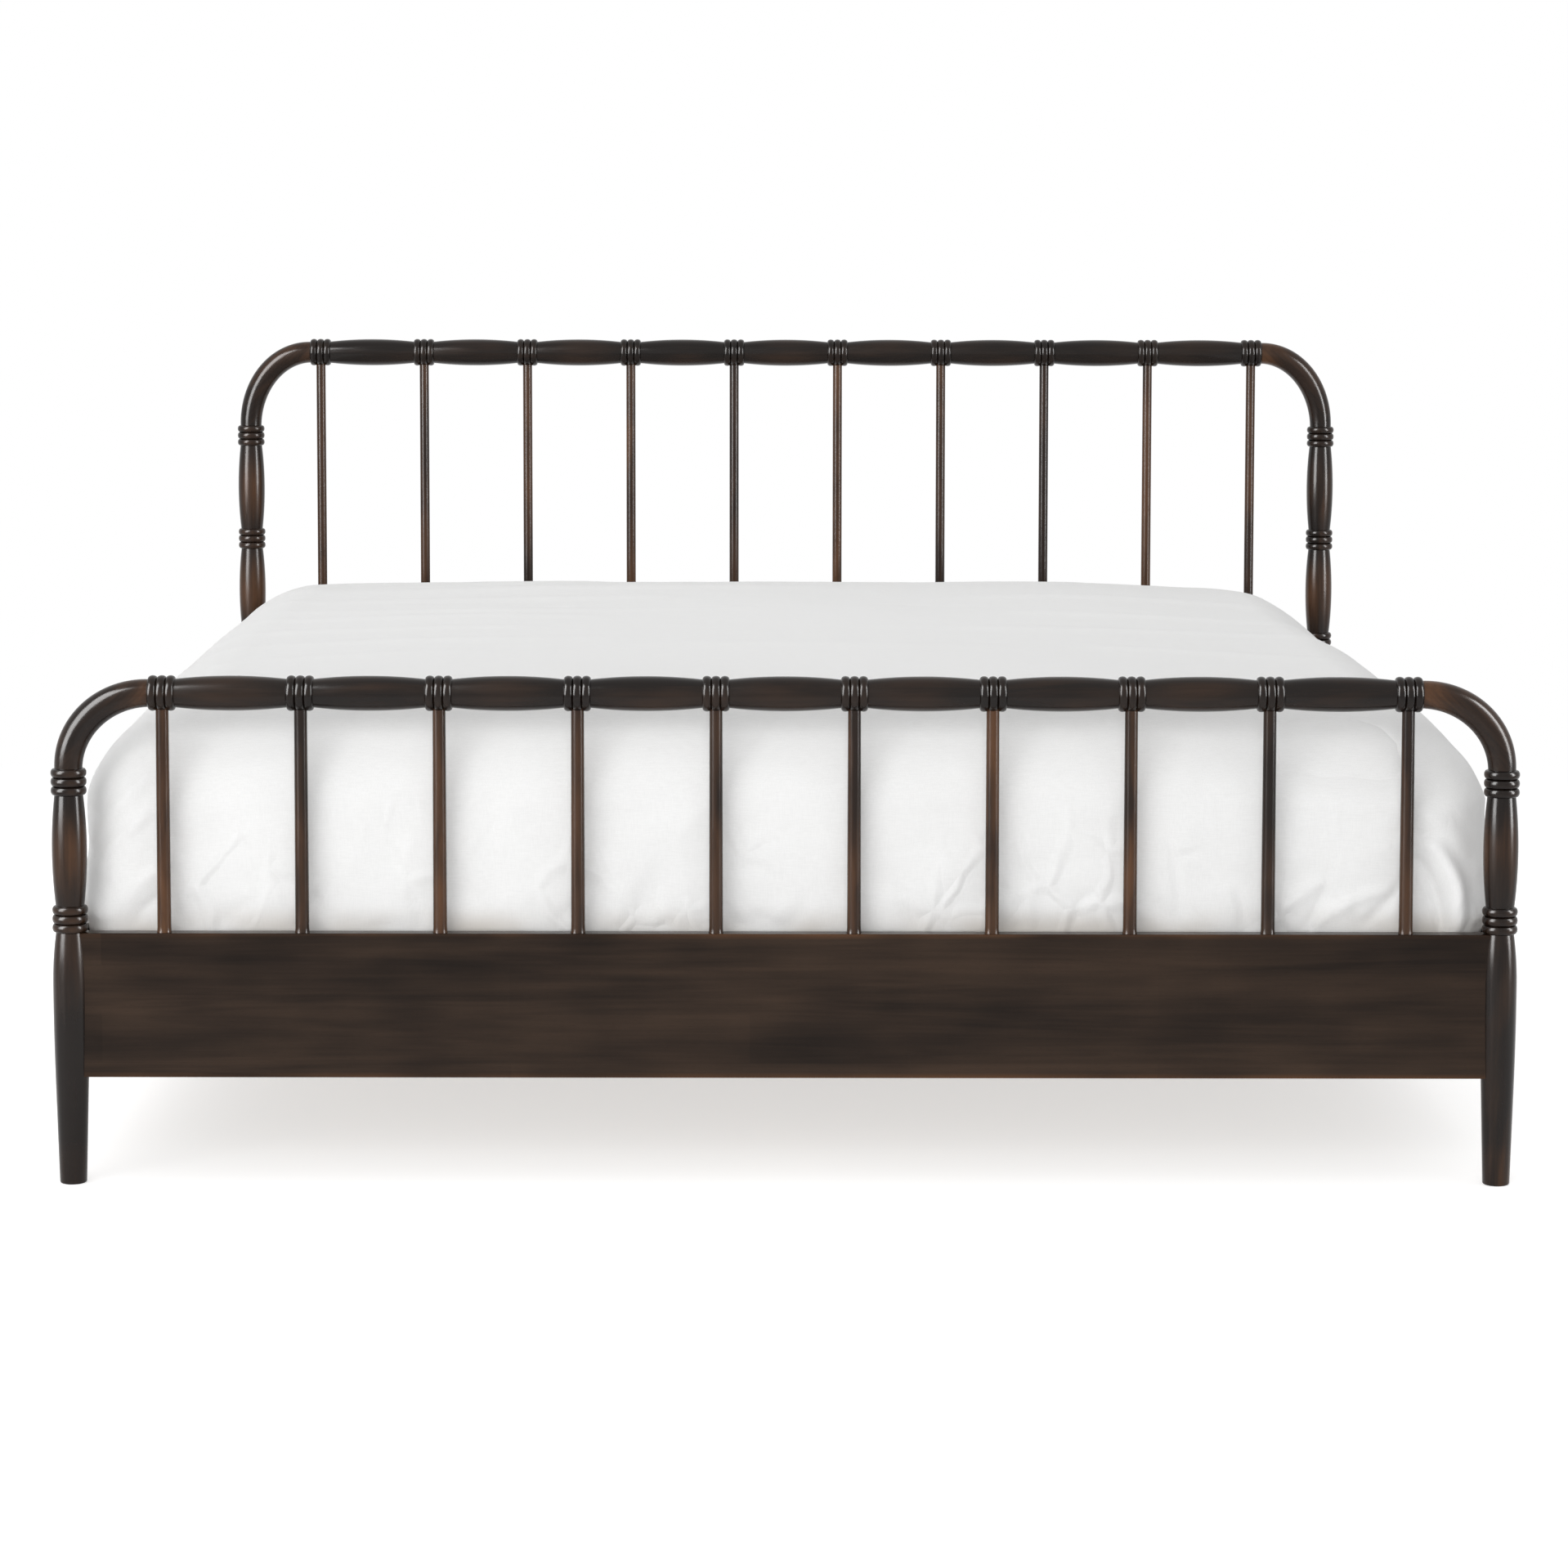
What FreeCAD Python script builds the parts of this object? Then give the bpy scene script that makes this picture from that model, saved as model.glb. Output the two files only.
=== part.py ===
import FreeCAD, Part
import math
import os

import Sketcher
from FreeCAD import Placement, Rotation, Vector

# A spindle bed for a king mattress. Millimetres. X runs across the bed, Y from foot to head and Z up;
# the origin is on the floor under the middle of the bed.
#
# Both boards are laid out on one module: a collar of three beads, then a swelling barrel, repeated along
# the top rail and up the posts. The spindles stand under the rail's collars.

doc = FreeCAD.newDocument("SpindleBed")

sizes = {
    # layout
    "spindle_count": 10,
    "module_pitch": 198,
    "board_spacing": 2080,
    "foot_collar_count": 2,
    "head_collar_count": 4,
    "elbow_run": 115.5,
    "foot_elbow_rise": 108,
    "head_elbow_rise": 140,
    # turned profile
    "round_sides": 12,
    "bead_count": 3,
    "bead_pitch": 13,
    "bead_flat": 5,
    "bead_radius": 25.5,
    "groove_radius": 21.5,
    "waist_radius": 20.5,
    "barrel_radius": 25,
    "elbow_end_radius": 20,
    "elbow_mid_radius": 21.4,
    "barrel_steps": 4,
    "elbow_steps": 9,
    "leg_bulge_radius": 25.7,
    "leg_bulge_height": 290,
    "leg_taper_radius": 23.75,
    "leg_taper_height": 150,
    "leg_foot_radius": 19.5,
    "leg_foot_round": 3,
    # spindles
    "spindle_sides": 12,
    "foot_spindle_top_radius": 9.25,
    "foot_spindle_base_radius": 10,
    "head_spindle_top_radius": 8.75,
    "head_spindle_base_radius": 9,
    "spindle_flare": 0.7,
    "spindle_flare_height": 9,
    "tenon_radius": 6,
    "tenon_length": 20,
    "spindle_socket_floor": 9,
    # panels and side rails
    "panel_bottom": 156,
    "panel_height": 209,
    "panel_thickness": 28,
    "panel_edge": 2,
    "mortise_floor": 12,
    "rail_thickness": 28,
    "rail_seat": 19.5,
    # hook plates
    "plate_thickness": 3,
    "plate_width": 18,
    "plate_height": 150,
    "hook_thickness": 4,
    "hook_height": 16,
    "hook_drop": 10,
    "hook_lip": 4,
    "hook_spacing": 90,
    "hook_play": 0.5,
    # slats and their supports
    "slat_count": 12,
    "slat_width": 100,
    "slat_thickness": 18,
    "slat_top": 330,
    "slat_end_gap": 4,
    "slat_margin": 35,
    "cleat_width": 25,
    "cleat_height": 35,
    "cleat_end_gap": 12,
    "beam_width": 45,
    "beam_height": 154.5,
    "hanger_steel": 3,
    "hanger_width": 68,
    "hanger_depth": 40,
    "hanger_rim": 18,
    "leg_width": 45,
    "leg_spacing": 380,
    "glide_radius": 16,
    "glide_height": 7,
    "glide_top_radius": 10,
    "glide_stem_radius": 4,
    "glide_stem_length": 25,
    # dowels and screws
    "dowel_radius": 6,
    "dowel_length": 60,
    "screw_sides": 6,
    "screw_head_radius": 4,
    "screw_head_height": 3,
    "screw_shank_radius": 2,
    "screw_shank_length": 24,
    "screw_spacing": 59.5,
    # bedding
    "bedding_height": 380.7,
    "bedding_side_gap": 4,
    "bedding_end_gap": 14,
    "bedding_round": 165,
    "bedding_corner": 90,
    "cover_side": 46,
    "cover_end": 12,
    "cover_top": 31,
    "cover_hem_lift": 6,
    "mattress_corner": 90,
    "mattress_round": 130,
    "mattress_wall": 15,
    "soft_steps": 4,
    # clearances
    "fit": 0.15,
    "soft_gap": 0.3,
}

dims = doc.addObject("Spreadsheet::Sheet", "Dims")
for row, (alias, value) in enumerate(sizes.items(), start=1):
    dims.set(f"A{row}", alias)
    dims.set(f"B{row}", str(value))
    dims.setAlias(f"B{row}", alias)
doc.recompute()

# lengths that follow from the sheet, as expressions
COLLAR = "(Dims.bead_count * Dims.bead_pitch)"
POST_X = f"((Dims.spindle_count - 1) * Dims.module_pitch / 2 + {COLLAR} / 2 + Dims.elbow_run)"
BOARD_Y = "(Dims.board_spacing / 2)"
PANEL_TOP = "(Dims.panel_bottom + Dims.panel_height)"
RAIL_Z = "(Dims.panel_bottom + Dims.panel_height / 2)"
PANEL_FACE_Y = f"({BOARD_Y} - Dims.panel_thickness / 2)"
RAIL_FACE_X = f"({POST_X} - Dims.rail_thickness / 2)"
RAIL_END_Y = f"({BOARD_Y} - Dims.rail_seat)"
CLEAT_TOP = "(Dims.slat_top - Dims.slat_thickness)"
BEAM_BASE = f"({CLEAT_TOP} - Dims.beam_height)"


def length(expression):
    """The present value of an expression of the sheet, in millimetres."""
    return float(dims.evalExpression(expression))


def post_top(end):
    """Height of the top of the uppermost post collar of the foot (-1) or head (+1) board."""
    count = "Dims.head_collar_count" if end > 0 else "Dims.foot_collar_count"
    return f"({PANEL_TOP} + ({count} - 1) * Dims.module_pitch + {COLLAR})"


def elbow_rise(end):
    return "Dims.head_elbow_rise" if end > 0 else "Dims.foot_elbow_rise"


def rail_height(end):
    """Height of the top rail's centre line."""
    return f"({post_top(end)} + {elbow_rise(end)})"


# ---------------------------------------------------------------- shapes


def faceted(rings, planar=True):
    """A closed solid with flat faces through rings of points, each ring with as many points.

    Where the quads between two rings aren't planar, each is split into two triangles."""
    rings = [ring + ring[:1] for ring in rings]
    loops = [rings[0], rings[-1]]
    for low, high in zip(rings, rings[1:]):
        for side in range(len(low) - 1):
            quad = [low[side], low[side + 1], high[side + 1], high[side]]
            if planar:
                loops.append(quad + quad[:1])
            else:
                loops.append(quad[:3] + quad[:1])
                loops.append([quad[0], quad[2], quad[3], quad[0]])
    shell = Part.Shell([Part.Face(Part.makePolygon(loop)) for loop in loops])
    solid = Part.Solid(shell)
    if solid.Volume < 0:
        solid.reverse()
    return solid


def flat_sided(rings, sides, planar=True):
    """A turned solid with flat sides, through rings of (placement, radius).

    Each ring is a regular polygon in its placement's XY plane."""
    turns = [2 * math.pi * side / sides for side in range(int(sides))]
    spokes = [Vector(math.cos(turn), math.sin(turn), 0) for turn in turns]
    return faceted([[place.multVec(spoke * radius) for spoke in spokes] for place, radius in rings], planar)


def upright(profile):
    """Rings of a profile of (radius, height) about the Z axis."""
    return [(Placement(Vector(0, 0, height), Rotation()), radius) for radius, height in profile]


def crosswise(profile):
    """Rings of a profile of (radius, distance) about the X axis."""
    turn = Rotation(Vector(0, 1, 0), 90)
    return [(Placement(Vector(along, 0, 0), turn), radius) for radius, along in profile]


def block(low, high):
    """A box between two corners, given in any order."""
    start = [min(pair) for pair in zip(low, high)]
    span = [abs(b - a) for a, b in zip(low, high)]
    return Part.makeBox(*span, Vector(*start))


def solid_object(name, shape, place):
    """A document object that holds a shape, at a place given by three expressions."""
    feature = doc.addObject("Part::Feature", name)
    feature.Shape = shape
    put(feature, *place)
    return feature


def put(item, x="0", y="0", z="0"):
    """Bind an object's place to expressions of the sheet."""
    for axis, expression in zip("xyz", (x, y, z)):
        item.setExpression(f"Placement.Base.{axis}", str(expression))
    return item


def plane_sketch(body, name, role, offset="0"):
    """A sketch on one of the body's own origin planes, moved along that plane's normal."""
    sketch = body.newObject("Sketcher::SketchObject", name)
    plane = next(feature for feature in body.Origin.OriginFeatures if feature.Role == role)
    sketch.AttachmentSupport = [(plane, "")]
    sketch.MapMode = "FlatFace"
    sketch.setExpression("AttachmentOffset.Base.z", offset)
    return sketch


def outline(sketch, points):
    """A closed outline through points, each a pair of expressions."""
    first = sketch.GeometryCount
    count = len(points)
    spots = [Vector(length(x), length(y), 0) for x, y in points]
    for index in range(count):
        sketch.addGeometry(Part.LineSegment(spots[index], spots[(index + 1) % count]), False)
    for index in range(count):
        after = first + (index + 1) % count
        sketch.addConstraint(Sketcher.Constraint("Coincident", first + index, 2, after, 1))
    for index, (x, y) in enumerate(points):
        for kind, expression in (("DistanceX", x), ("DistanceY", y)):
            value = length(expression)
            number = sketch.addConstraint(Sketcher.Constraint(kind, -1, 1, first + index, 1, value))
            sketch.setExpression(f"Constraints[{number}]", expression)
    return sketch


def rectangle(sketch, left, low, right, high):
    return outline(sketch, [(left, low), (right, low), (right, high), (left, high)])


def centred(sketch, width, height):
    """A rectangle about the sketch's origin."""
    return rectangle(sketch, f"-({width}) / 2", f"-({height}) / 2", f"({width}) / 2", f"({height}) / 2")


def pad(body, name, sketch, depth, middle=False, reverse=False):
    feature = body.newObject("PartDesign::Pad", name)
    feature.Profile = sketch
    feature.setExpression("Length", depth)
    feature.Midplane = middle
    feature.Reversed = reverse
    doc.recompute()
    return feature


def pocket(body, name, sketch, depth, reverse=False):
    """A pocket that must take material away."""
    before = body.Shape.Volume
    feature = body.newObject("PartDesign::Pocket", name)
    feature.Profile = sketch
    feature.setExpression("Length", depth)
    feature.Reversed = reverse
    doc.recompute()
    if body.Shape.Volume >= before:
        raise RuntimeError(f"{name} cuts nothing")
    return feature


def new_body(name):
    return doc.addObject("PartDesign::Body", name)


def slab(name, width, depth, height, place):
    """A plain board centred on its place in X and Y, standing on it in Z."""
    board = doc.addObject("Part::Box", name)
    board.setExpression("Length", width)
    board.setExpression("Width", depth)
    board.setExpression("Height", height)
    x, y, z = place
    return put(board, f"{x} - ({width}) / 2", f"{y} - ({depth}) / 2", z)


# ---------------------------------------------------------------- turned profiles


def collar_profile(start):
    """Radius and distance of one collar's beads, after its first edge at the waist."""
    profile = []
    count = int(dims.bead_count)
    for bead in range(count):
        low = start + bead * dims.bead_pitch
        slope = (dims.bead_pitch - dims.bead_flat) / 2
        profile.append((dims.bead_radius, low + slope))
        profile.append((dims.bead_radius, low + slope + dims.bead_flat))
        edge = dims.waist_radius if bead == count - 1 else dims.groove_radius
        profile.append((edge, low + dims.bead_pitch))
    return profile


def barrel_profile(start):
    """One barrel after a collar: a parabola from waist to waist."""
    steps = int(dims.barrel_steps)
    span = dims.module_pitch - length(COLLAR)
    rise = dims.barrel_radius - dims.waist_radius
    shares = [step / steps for step in range(1, steps + 1)]
    return [(dims.waist_radius + rise * (1 - (2 * share - 1) ** 2), start + span * share) for share in shares]


def module_profile(start, collars):
    """Collars with a barrel between each pair, after the first edge at the waist."""
    profile = []
    for collar in range(int(collars)):
        edge = start + collar * dims.module_pitch
        profile += collar_profile(edge)
        if collar < collars - 1:
            profile += barrel_profile(edge + length(COLLAR))
    return profile


def leg_profile():
    """The leg under the lowest collar: a cone, then two parabolas that meet at the bulge."""
    taper_shares, neck_shares = (0.5, 1.0), (0.4, 0.75, 1.0)
    top = length(PANEL_TOP)
    fall = dims.leg_bulge_radius - dims.leg_taper_radius
    neck = dims.leg_bulge_radius - dims.waist_radius
    profile = [
        (dims.leg_foot_radius - dims.leg_foot_round, 0),
        (dims.leg_foot_radius, dims.leg_foot_round),
        (dims.leg_taper_radius, dims.leg_taper_height),
    ]
    for share in taper_shares:
        height = dims.leg_taper_height + share * (dims.leg_bulge_height - dims.leg_taper_height)
        profile.append((dims.leg_bulge_radius - fall * (1 - share) ** 2, height))
    for share in neck_shares:
        height = dims.leg_bulge_height + share * (top - dims.leg_bulge_height)
        profile.append((dims.leg_bulge_radius - neck * share**2, height))
    return profile


def bore(radius, depth, place, sides):
    """A flat-sided hole's tool, from its place along the placement's Z axis."""
    steps = [(Placement(Vector(0, 0, along), Rotation()), radius) for along in (0, depth)]
    return flat_sided([(place.multiply(step), size) for step, size in steps], sides)


def dowel_bore(place):
    return bore(dims.dowel_radius + dims.fit, dims.dowel_length / 2 + dims.fit, place, dims.spindle_sides)


# ---------------------------------------------------------------- boards


def post(name, side, end):
    """A turned post with its leg. The panel's mortise faces inwards, and the rail's seat along the bed."""
    top = length(post_top(end))
    collars = dims.head_collar_count if end > 0 else dims.foot_collar_count
    profile = leg_profile() + module_profile(length(PANEL_TOP), collars)
    shape = flat_sided(upright(profile), dims.round_sides)
    low, high, middle = dims.panel_bottom, length(PANEL_TOP), length(RAIL_Z)
    reach = 2 * dims.leg_bulge_radius
    half = dims.panel_thickness / 2 + dims.fit
    mortise = block((-side * dims.mortise_floor, -half, low), (-side * reach, half, high))
    seat = block((-reach, -end * dims.rail_seat, low), (reach, -end * reach, high))
    plate_half = dims.plate_width / 2 + dims.fit
    plate_rise = dims.plate_height / 2 + dims.fit
    back = dims.rail_seat - dims.plate_thickness - dims.fit
    recess = block(
        (-plate_half, -end * back, middle - plate_rise), (plate_half, -end * reach, middle + plate_rise)
    )
    tools = [mortise, seat, recess, dowel_bore(Placement(Vector(0, 0, top), Rotation(Vector(1, 0, 0), 180)))]
    hook_half = dims.hook_thickness / 2 + 2 * dims.hook_play
    hook_floor = back - dims.hook_lip - 2 * dims.hook_play
    for step in (-1, 1):
        centre = middle + step * dims.hook_spacing / 2
        low_z = centre - dims.hook_height / 2 - dims.hook_drop - dims.hook_play
        high_z = centre + dims.hook_height / 2 + dims.hook_drop
        tools.append(block((-hook_half, -end * hook_floor, low_z), (hook_half, -end * reach, high_z)))
    return solid_object(name, shape.cut(tools), (f"{side} * {POST_X}", f"{end} * {BOARD_Y}", "0"))


def corner(name, side, end):
    """The bent turning between a post and the top rail: rings along a quarter of an ellipse."""
    run, rise = dims.elbow_run, length(elbow_rise(end))
    swell = dims.elbow_mid_radius - dims.elbow_end_radius
    steps = int(dims.elbow_steps)
    rings = []
    for step in range(steps + 1):
        angle = math.pi / 2 * step / steps
        centre = Vector(-side * run * (1 - math.cos(angle)), 0, rise * math.sin(angle))
        lean = math.degrees(math.atan2(run * math.sin(angle), rise * math.cos(angle)))
        radius = dims.elbow_end_radius + swell * math.sin(2 * angle)
        rings.append((Placement(centre, Rotation(Vector(0, 1, 0), -side * lean)), radius))
    shape = flat_sided(rings, dims.round_sides, planar=False)
    rail_end = Placement(Vector(-side * run, 0, rise), Rotation(Vector(0, 1, 0), side * 90))
    tools = [dowel_bore(Placement()), dowel_bore(rail_end)]
    place = (f"{side} * {POST_X}", f"{end} * {BOARD_Y}", post_top(end))
    return solid_object(name, shape.cut(tools), place)


def spindle_places():
    """Each spindle's distance from the middle of the board, as expressions."""
    count = int(dims.spindle_count)
    return [f"({index} - (Dims.spindle_count - 1) / 2) * Dims.module_pitch" for index in range(count)]


def top_rail(name, end):
    """The turned top rail, with a socket under each collar and a dowel hole in each end."""
    count = dims.spindle_count
    start = -(count - 1) * dims.module_pitch / 2 - length(COLLAR) / 2
    profile = [(dims.waist_radius, start)] + module_profile(start, count)
    shape = flat_sided(crosswise(profile), dims.round_sides)
    down = Rotation(Vector(1, 0, 0), 180)
    radius = (dims.head_spindle_top_radius if end > 0 else dims.foot_spindle_top_radius) + dims.fit
    depth = dims.bead_radius
    tools = []
    for place in spindle_places():
        mouth = Placement(Vector(length(place), 0, -dims.spindle_socket_floor), down)
        tools.append(bore(radius, depth, mouth, dims.spindle_sides))
    tools.append(dowel_bore(Placement(Vector(start, 0, 0), Rotation(Vector(0, 1, 0), 90))))
    tools.append(dowel_bore(Placement(Vector(-start, 0, 0), Rotation(Vector(0, 1, 0), -90))))
    return solid_object(name, shape.cut(tools), ("0", f"{end} * {BOARD_Y}", rail_height(end)))


def spindle(name, end, across):
    """A plain spindle: a round tenon in the panel, a slight flare, then a taper up into the rail."""
    if end > 0:
        base, tip = dims.head_spindle_base_radius, dims.head_spindle_top_radius
    else:
        base, tip = dims.foot_spindle_base_radius, dims.foot_spindle_top_radius
    top = length(f"{rail_height(end)} - {PANEL_TOP}") - dims.spindle_socket_floor - dims.fit
    profile = [
        (dims.tenon_radius, -dims.tenon_length),
        (dims.tenon_radius, 0),
        (base + dims.spindle_flare, 0),
        (base, dims.spindle_flare_height),
        (tip, top),
    ]
    shape = flat_sided(upright(profile), dims.spindle_sides)
    return solid_object(name, shape, (across, f"{end} * {BOARD_Y}", PANEL_TOP))


def panel(name, end):
    """A thick board with eased long edges and a row of spindle holes along its top."""
    body = new_body(f"{name}_board")
    edge, half = "Dims.panel_edge", "Dims.panel_thickness / 2"
    high = "Dims.panel_height / 2"
    section = plane_sketch(body, "Section", "YZ_Plane")
    points = []
    for y_sign, z_sign, first in ((-1, -1, "z"), (1, -1, "y"), (1, 1, "z"), (-1, 1, "y")):
        y, z = half, high
        near = (f"{y_sign} * {y}", f"{z_sign} * ({z} - {edge})")
        far = (f"{y_sign} * ({y} - {edge})", f"{z_sign} * {z}")
        points += [near, far] if first == "z" else [far, near]
    outline(section, points)
    width = f"2 * ({POST_X} - Dims.mortise_floor - Dims.fit)"
    pad(body, "Board", section, width, middle=True)
    holes = []
    for across in spindle_places():
        hole = doc.addObject("Part::Prism", f"{name}_hole")
        hole.setExpression("Polygon", "Dims.spindle_sides")
        hole.setExpression("Circumradius", "Dims.tenon_radius + Dims.fit")
        hole.setExpression("Height", "Dims.tenon_length + 2 * Dims.fit")
        put(hole, across, "0", f"{high} - Dims.tenon_length - Dims.fit")
        holes.append(hole)
    for across, up in screw_places():
        start = f"-{end} * ({half} + Dims.hanger_steel)"
        holes.append(screw_bore(end, across, start, f"{BEAM_BASE} + {up} - {RAIL_Z}"))
    return put(drilled(name, body, holes), "0", f"{end} * {BOARD_Y}", RAIL_Z)


# ---------------------------------------------------------------- side rails and slats


def side_rail(name, side):
    """A side board seated on the posts' flats, with a hook plate let into each end."""
    body = new_body(name)
    width = "2 * " + RAIL_END_Y
    pad(body, "Board", centred(plane_sketch(body, "Section", "XZ_Plane"), "Dims.rail_thickness",
                               "Dims.panel_height"), width, middle=True)
    for step in (-1, 1):
        place = f"{step} * {RAIL_END_Y}"
        recess = plane_sketch(body, "PlateSeat", "XZ_Plane", place)
        centred(recess, "Dims.plate_width + 2 * Dims.fit", "Dims.plate_height + 2 * Dims.fit")
        pocket(body, "PlateRecess", recess, "Dims.plate_thickness", reverse=step < 0)
    return put(body, f"{side} * {POST_X}", "0", RAIL_Z)


def hook_plate(name, side, end):
    """A steel plate in the rail's end, with two hooks that drop behind the post's receiver plate."""
    body = new_body(name)
    face = plane_sketch(body, "Face", "XZ_Plane")
    centred(face, "Dims.plate_width", "Dims.plate_height")
    pad(body, "Plate", face, "Dims.plate_thickness", reverse=True)
    reach = "(Dims.plate_thickness + Dims.fit + Dims.hook_play)"
    for step in (-1, 1):
        middle = f"{step} * Dims.hook_spacing / 2"
        top, base = f"({middle} + Dims.hook_height / 2)", f"({middle} - Dims.hook_height / 2)"
        side_view = plane_sketch(body, "HookSide", "YZ_Plane")
        outline(side_view, [
            ("Dims.plate_thickness / 2", top),
            (f"-({reach} + Dims.hook_lip)", top),
            (f"-({reach} + Dims.hook_lip)", f"{base} - Dims.hook_drop"),
            (f"-{reach}", f"{base} - Dims.hook_drop"),
            (f"-{reach}", base),
            ("Dims.plate_thickness / 2", base),
        ])
        pad(body, "Hook", side_view, "Dims.hook_thickness", middle=True)
    body.Placement = Placement(Vector(), Rotation(Vector(0, 0, 1), 180 if end > 0 else 0))
    return put(body, f"{side} * {POST_X}", f"{end} * {RAIL_END_Y}", RAIL_Z)


def receiver_plate(name, side, end):
    """The plate let into a post's flat, with a slot for each hook."""
    body = new_body(name)
    face = plane_sketch(body, "Face", "XZ_Plane")
    centred(face, "Dims.plate_width", "Dims.plate_height")
    pad(body, "Plate", face, "Dims.plate_thickness")
    half = "(Dims.hook_thickness / 2 + Dims.hook_play)"
    for step in (-1, 1):
        middle = f"{step} * Dims.hook_spacing / 2"
        slot = plane_sketch(body, "Slot", "XZ_Plane")
        rectangle(slot, f"-{half}", f"{middle} - Dims.hook_height / 2 - Dims.hook_play",
                  half, f"{middle} + Dims.hook_height / 2 + Dims.hook_drop")
        pocket(body, "HookSlot", slot, "Dims.plate_thickness", reverse=True)
    body.Placement = Placement(Vector(), Rotation(Vector(0, 0, 1), 180 if end > 0 else 0))
    return put(body, f"{side} * {POST_X}", f"{end} * {RAIL_END_Y}", RAIL_Z)


def hanger(name, end):
    """A steel hanger on a panel's inner face: a cradle under the beam's end and a wider back plate."""
    body = new_body(name)
    inner = "(Dims.beam_width / 2 + Dims.fit)"
    outer = f"({inner} + Dims.hanger_steel)"
    low, floor, high = "-Dims.hanger_steel", "0", "(Dims.beam_height - Dims.hanger_rim)"
    cradle = plane_sketch(body, "Cradle", "XZ_Plane")
    outline(cradle, [
        (f"-{outer}", low), (outer, low), (outer, high), (inner, high),
        (inner, floor), (f"-{inner}", floor), (f"-{inner}", high), (f"-{outer}", high),
    ])
    pad(body, "Trough", cradle, "Dims.hanger_depth", reverse=True)
    back = plane_sketch(body, "Back", "XZ_Plane")
    half = "Dims.hanger_width / 2"
    rectangle(back, f"-{half}", low, half, high)
    pad(body, "BackPlate", back, "Dims.hanger_steel", reverse=True)
    tools = [screw_bore(1, across, "-Dims.fit", up) for across, up in screw_places()]
    item = drilled(name, body, tools)
    item.Placement = Placement(Vector(), Rotation(Vector(0, 0, 1), 180 if end > 0 else 0))
    return put(item, "0", f"{end} * {PANEL_FACE_Y}", BEAM_BASE)


def centre_leg(name, along):
    """A square leg under the beam, bored for its glide's stem."""
    body = new_body(name)
    height = f"{BEAM_BASE} - Dims.glide_height"
    pad(body, "Leg", centred(plane_sketch(body, "Section", "XY_Plane"), "Dims.leg_width", "Dims.leg_width"),
        height)
    hole = plane_sketch(body, "StemHole", "XY_Plane")
    hole.addGeometry(Part.Circle(Vector(), Vector(0, 0, 1), dims.glide_stem_radius), False)
    hole.addConstraint(Sketcher.Constraint("Coincident", 0, 3, -1, 1))
    number = hole.addConstraint(Sketcher.Constraint("Radius", 0, dims.glide_stem_radius))
    hole.setExpression(f"Constraints[{number}]", "Dims.glide_stem_radius + Dims.fit")
    pocket(body, "StemBore", hole, "Dims.glide_stem_length + Dims.fit", reverse=True)
    return put(body, "0", along, "Dims.glide_height")


def glide(name, along):
    """An adjustable foot: a flat cone and its threaded stem."""
    profile = [
        (dims.glide_radius, 0),
        (dims.glide_radius, dims.glide_height / 2),
        (dims.glide_top_radius, dims.glide_height),
        (dims.glide_stem_radius, dims.glide_height),
        (dims.glide_stem_radius, dims.glide_height + dims.glide_stem_length),
    ]
    return solid_object(name, flat_sided(upright(profile), dims.round_sides), ("0", along, "0"))


def screw_places():
    """Places of the hanger screws across the bed and up, relative to the hanger."""
    return [(f"{step} * Dims.screw_spacing / 2", "Dims.beam_height / 2") for step in (-1, 1)]


def hanger_screw(name, end, across, up):
    """A hexagon-headed screw through the hanger's back plate into the panel."""
    profile = [
        (dims.screw_head_radius, -dims.screw_head_height),
        (dims.screw_head_radius, 0),
        (dims.screw_shank_radius, 0),
        (dims.screw_shank_radius, dims.screw_shank_length),
    ]
    item = solid_object(name, flat_sided(upright(profile), dims.screw_sides), ("0", "0", "0"))
    item.Placement = Placement(Vector(), Rotation(Vector(1, 0, 0), -90 * end))
    return put(item, across, f"{end} * ({PANEL_FACE_Y} - Dims.hanger_steel)", f"{BEAM_BASE} + {up}")


def screw_bore(end, across, start, up):
    """The hole of a hanger screw, as a tool that points along the bed to its foot (-1) or head (+1)."""
    tool = doc.addObject("Part::Prism", "screw_hole")
    tool.setExpression("Polygon", "Dims.screw_sides")
    tool.setExpression("Circumradius", "Dims.screw_shank_radius + Dims.fit")
    tool.setExpression("Height", "Dims.screw_shank_length + Dims.fit")
    tool.Placement = Placement(Vector(), Rotation(Vector(1, 0, 0), -90 * end))
    return put(tool, across, start, up)


def drilled(name, base, tools):
    """A body with the tools' shapes cut away."""
    row = doc.addObject("Part::Compound", f"{name}_tools")
    row.Links = tools
    board = doc.addObject("Part::Cut", name)
    board.Base = base
    board.Tool = row
    return board


def dowel(name, place, turn):
    half = dims.dowel_length / 2
    shape = flat_sided(upright([(dims.dowel_radius, -half), (dims.dowel_radius, half)]),
                       dims.spindle_sides)
    item = solid_object(name, shape, place)
    item.Placement = Placement(Vector(), turn)
    return put(item, *place)


def group(name, members):
    """One node that holds several like solids."""
    node = doc.addObject("Part::Compound", name)
    node.Links = members
    return node


# ---------------------------------------------------------------- bedding

COVER_X = f"({RAIL_FACE_X} - Dims.bedding_side_gap)"
COVER_Y = f"({PANEL_FACE_Y} - Dims.bedding_end_gap)"
MATTRESS_X = f"({COVER_X} - Dims.cover_side)"
MATTRESS_Y = f"({COVER_Y} - Dims.cover_end)"
BEDDING_BASE = "(Dims.slat_top + Dims.soft_gap)"
BEDDING_TOP = f"({BEDDING_BASE} + Dims.bedding_height)"
MATTRESS_TOP = f"({BEDDING_TOP} - Dims.cover_top)"


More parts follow.
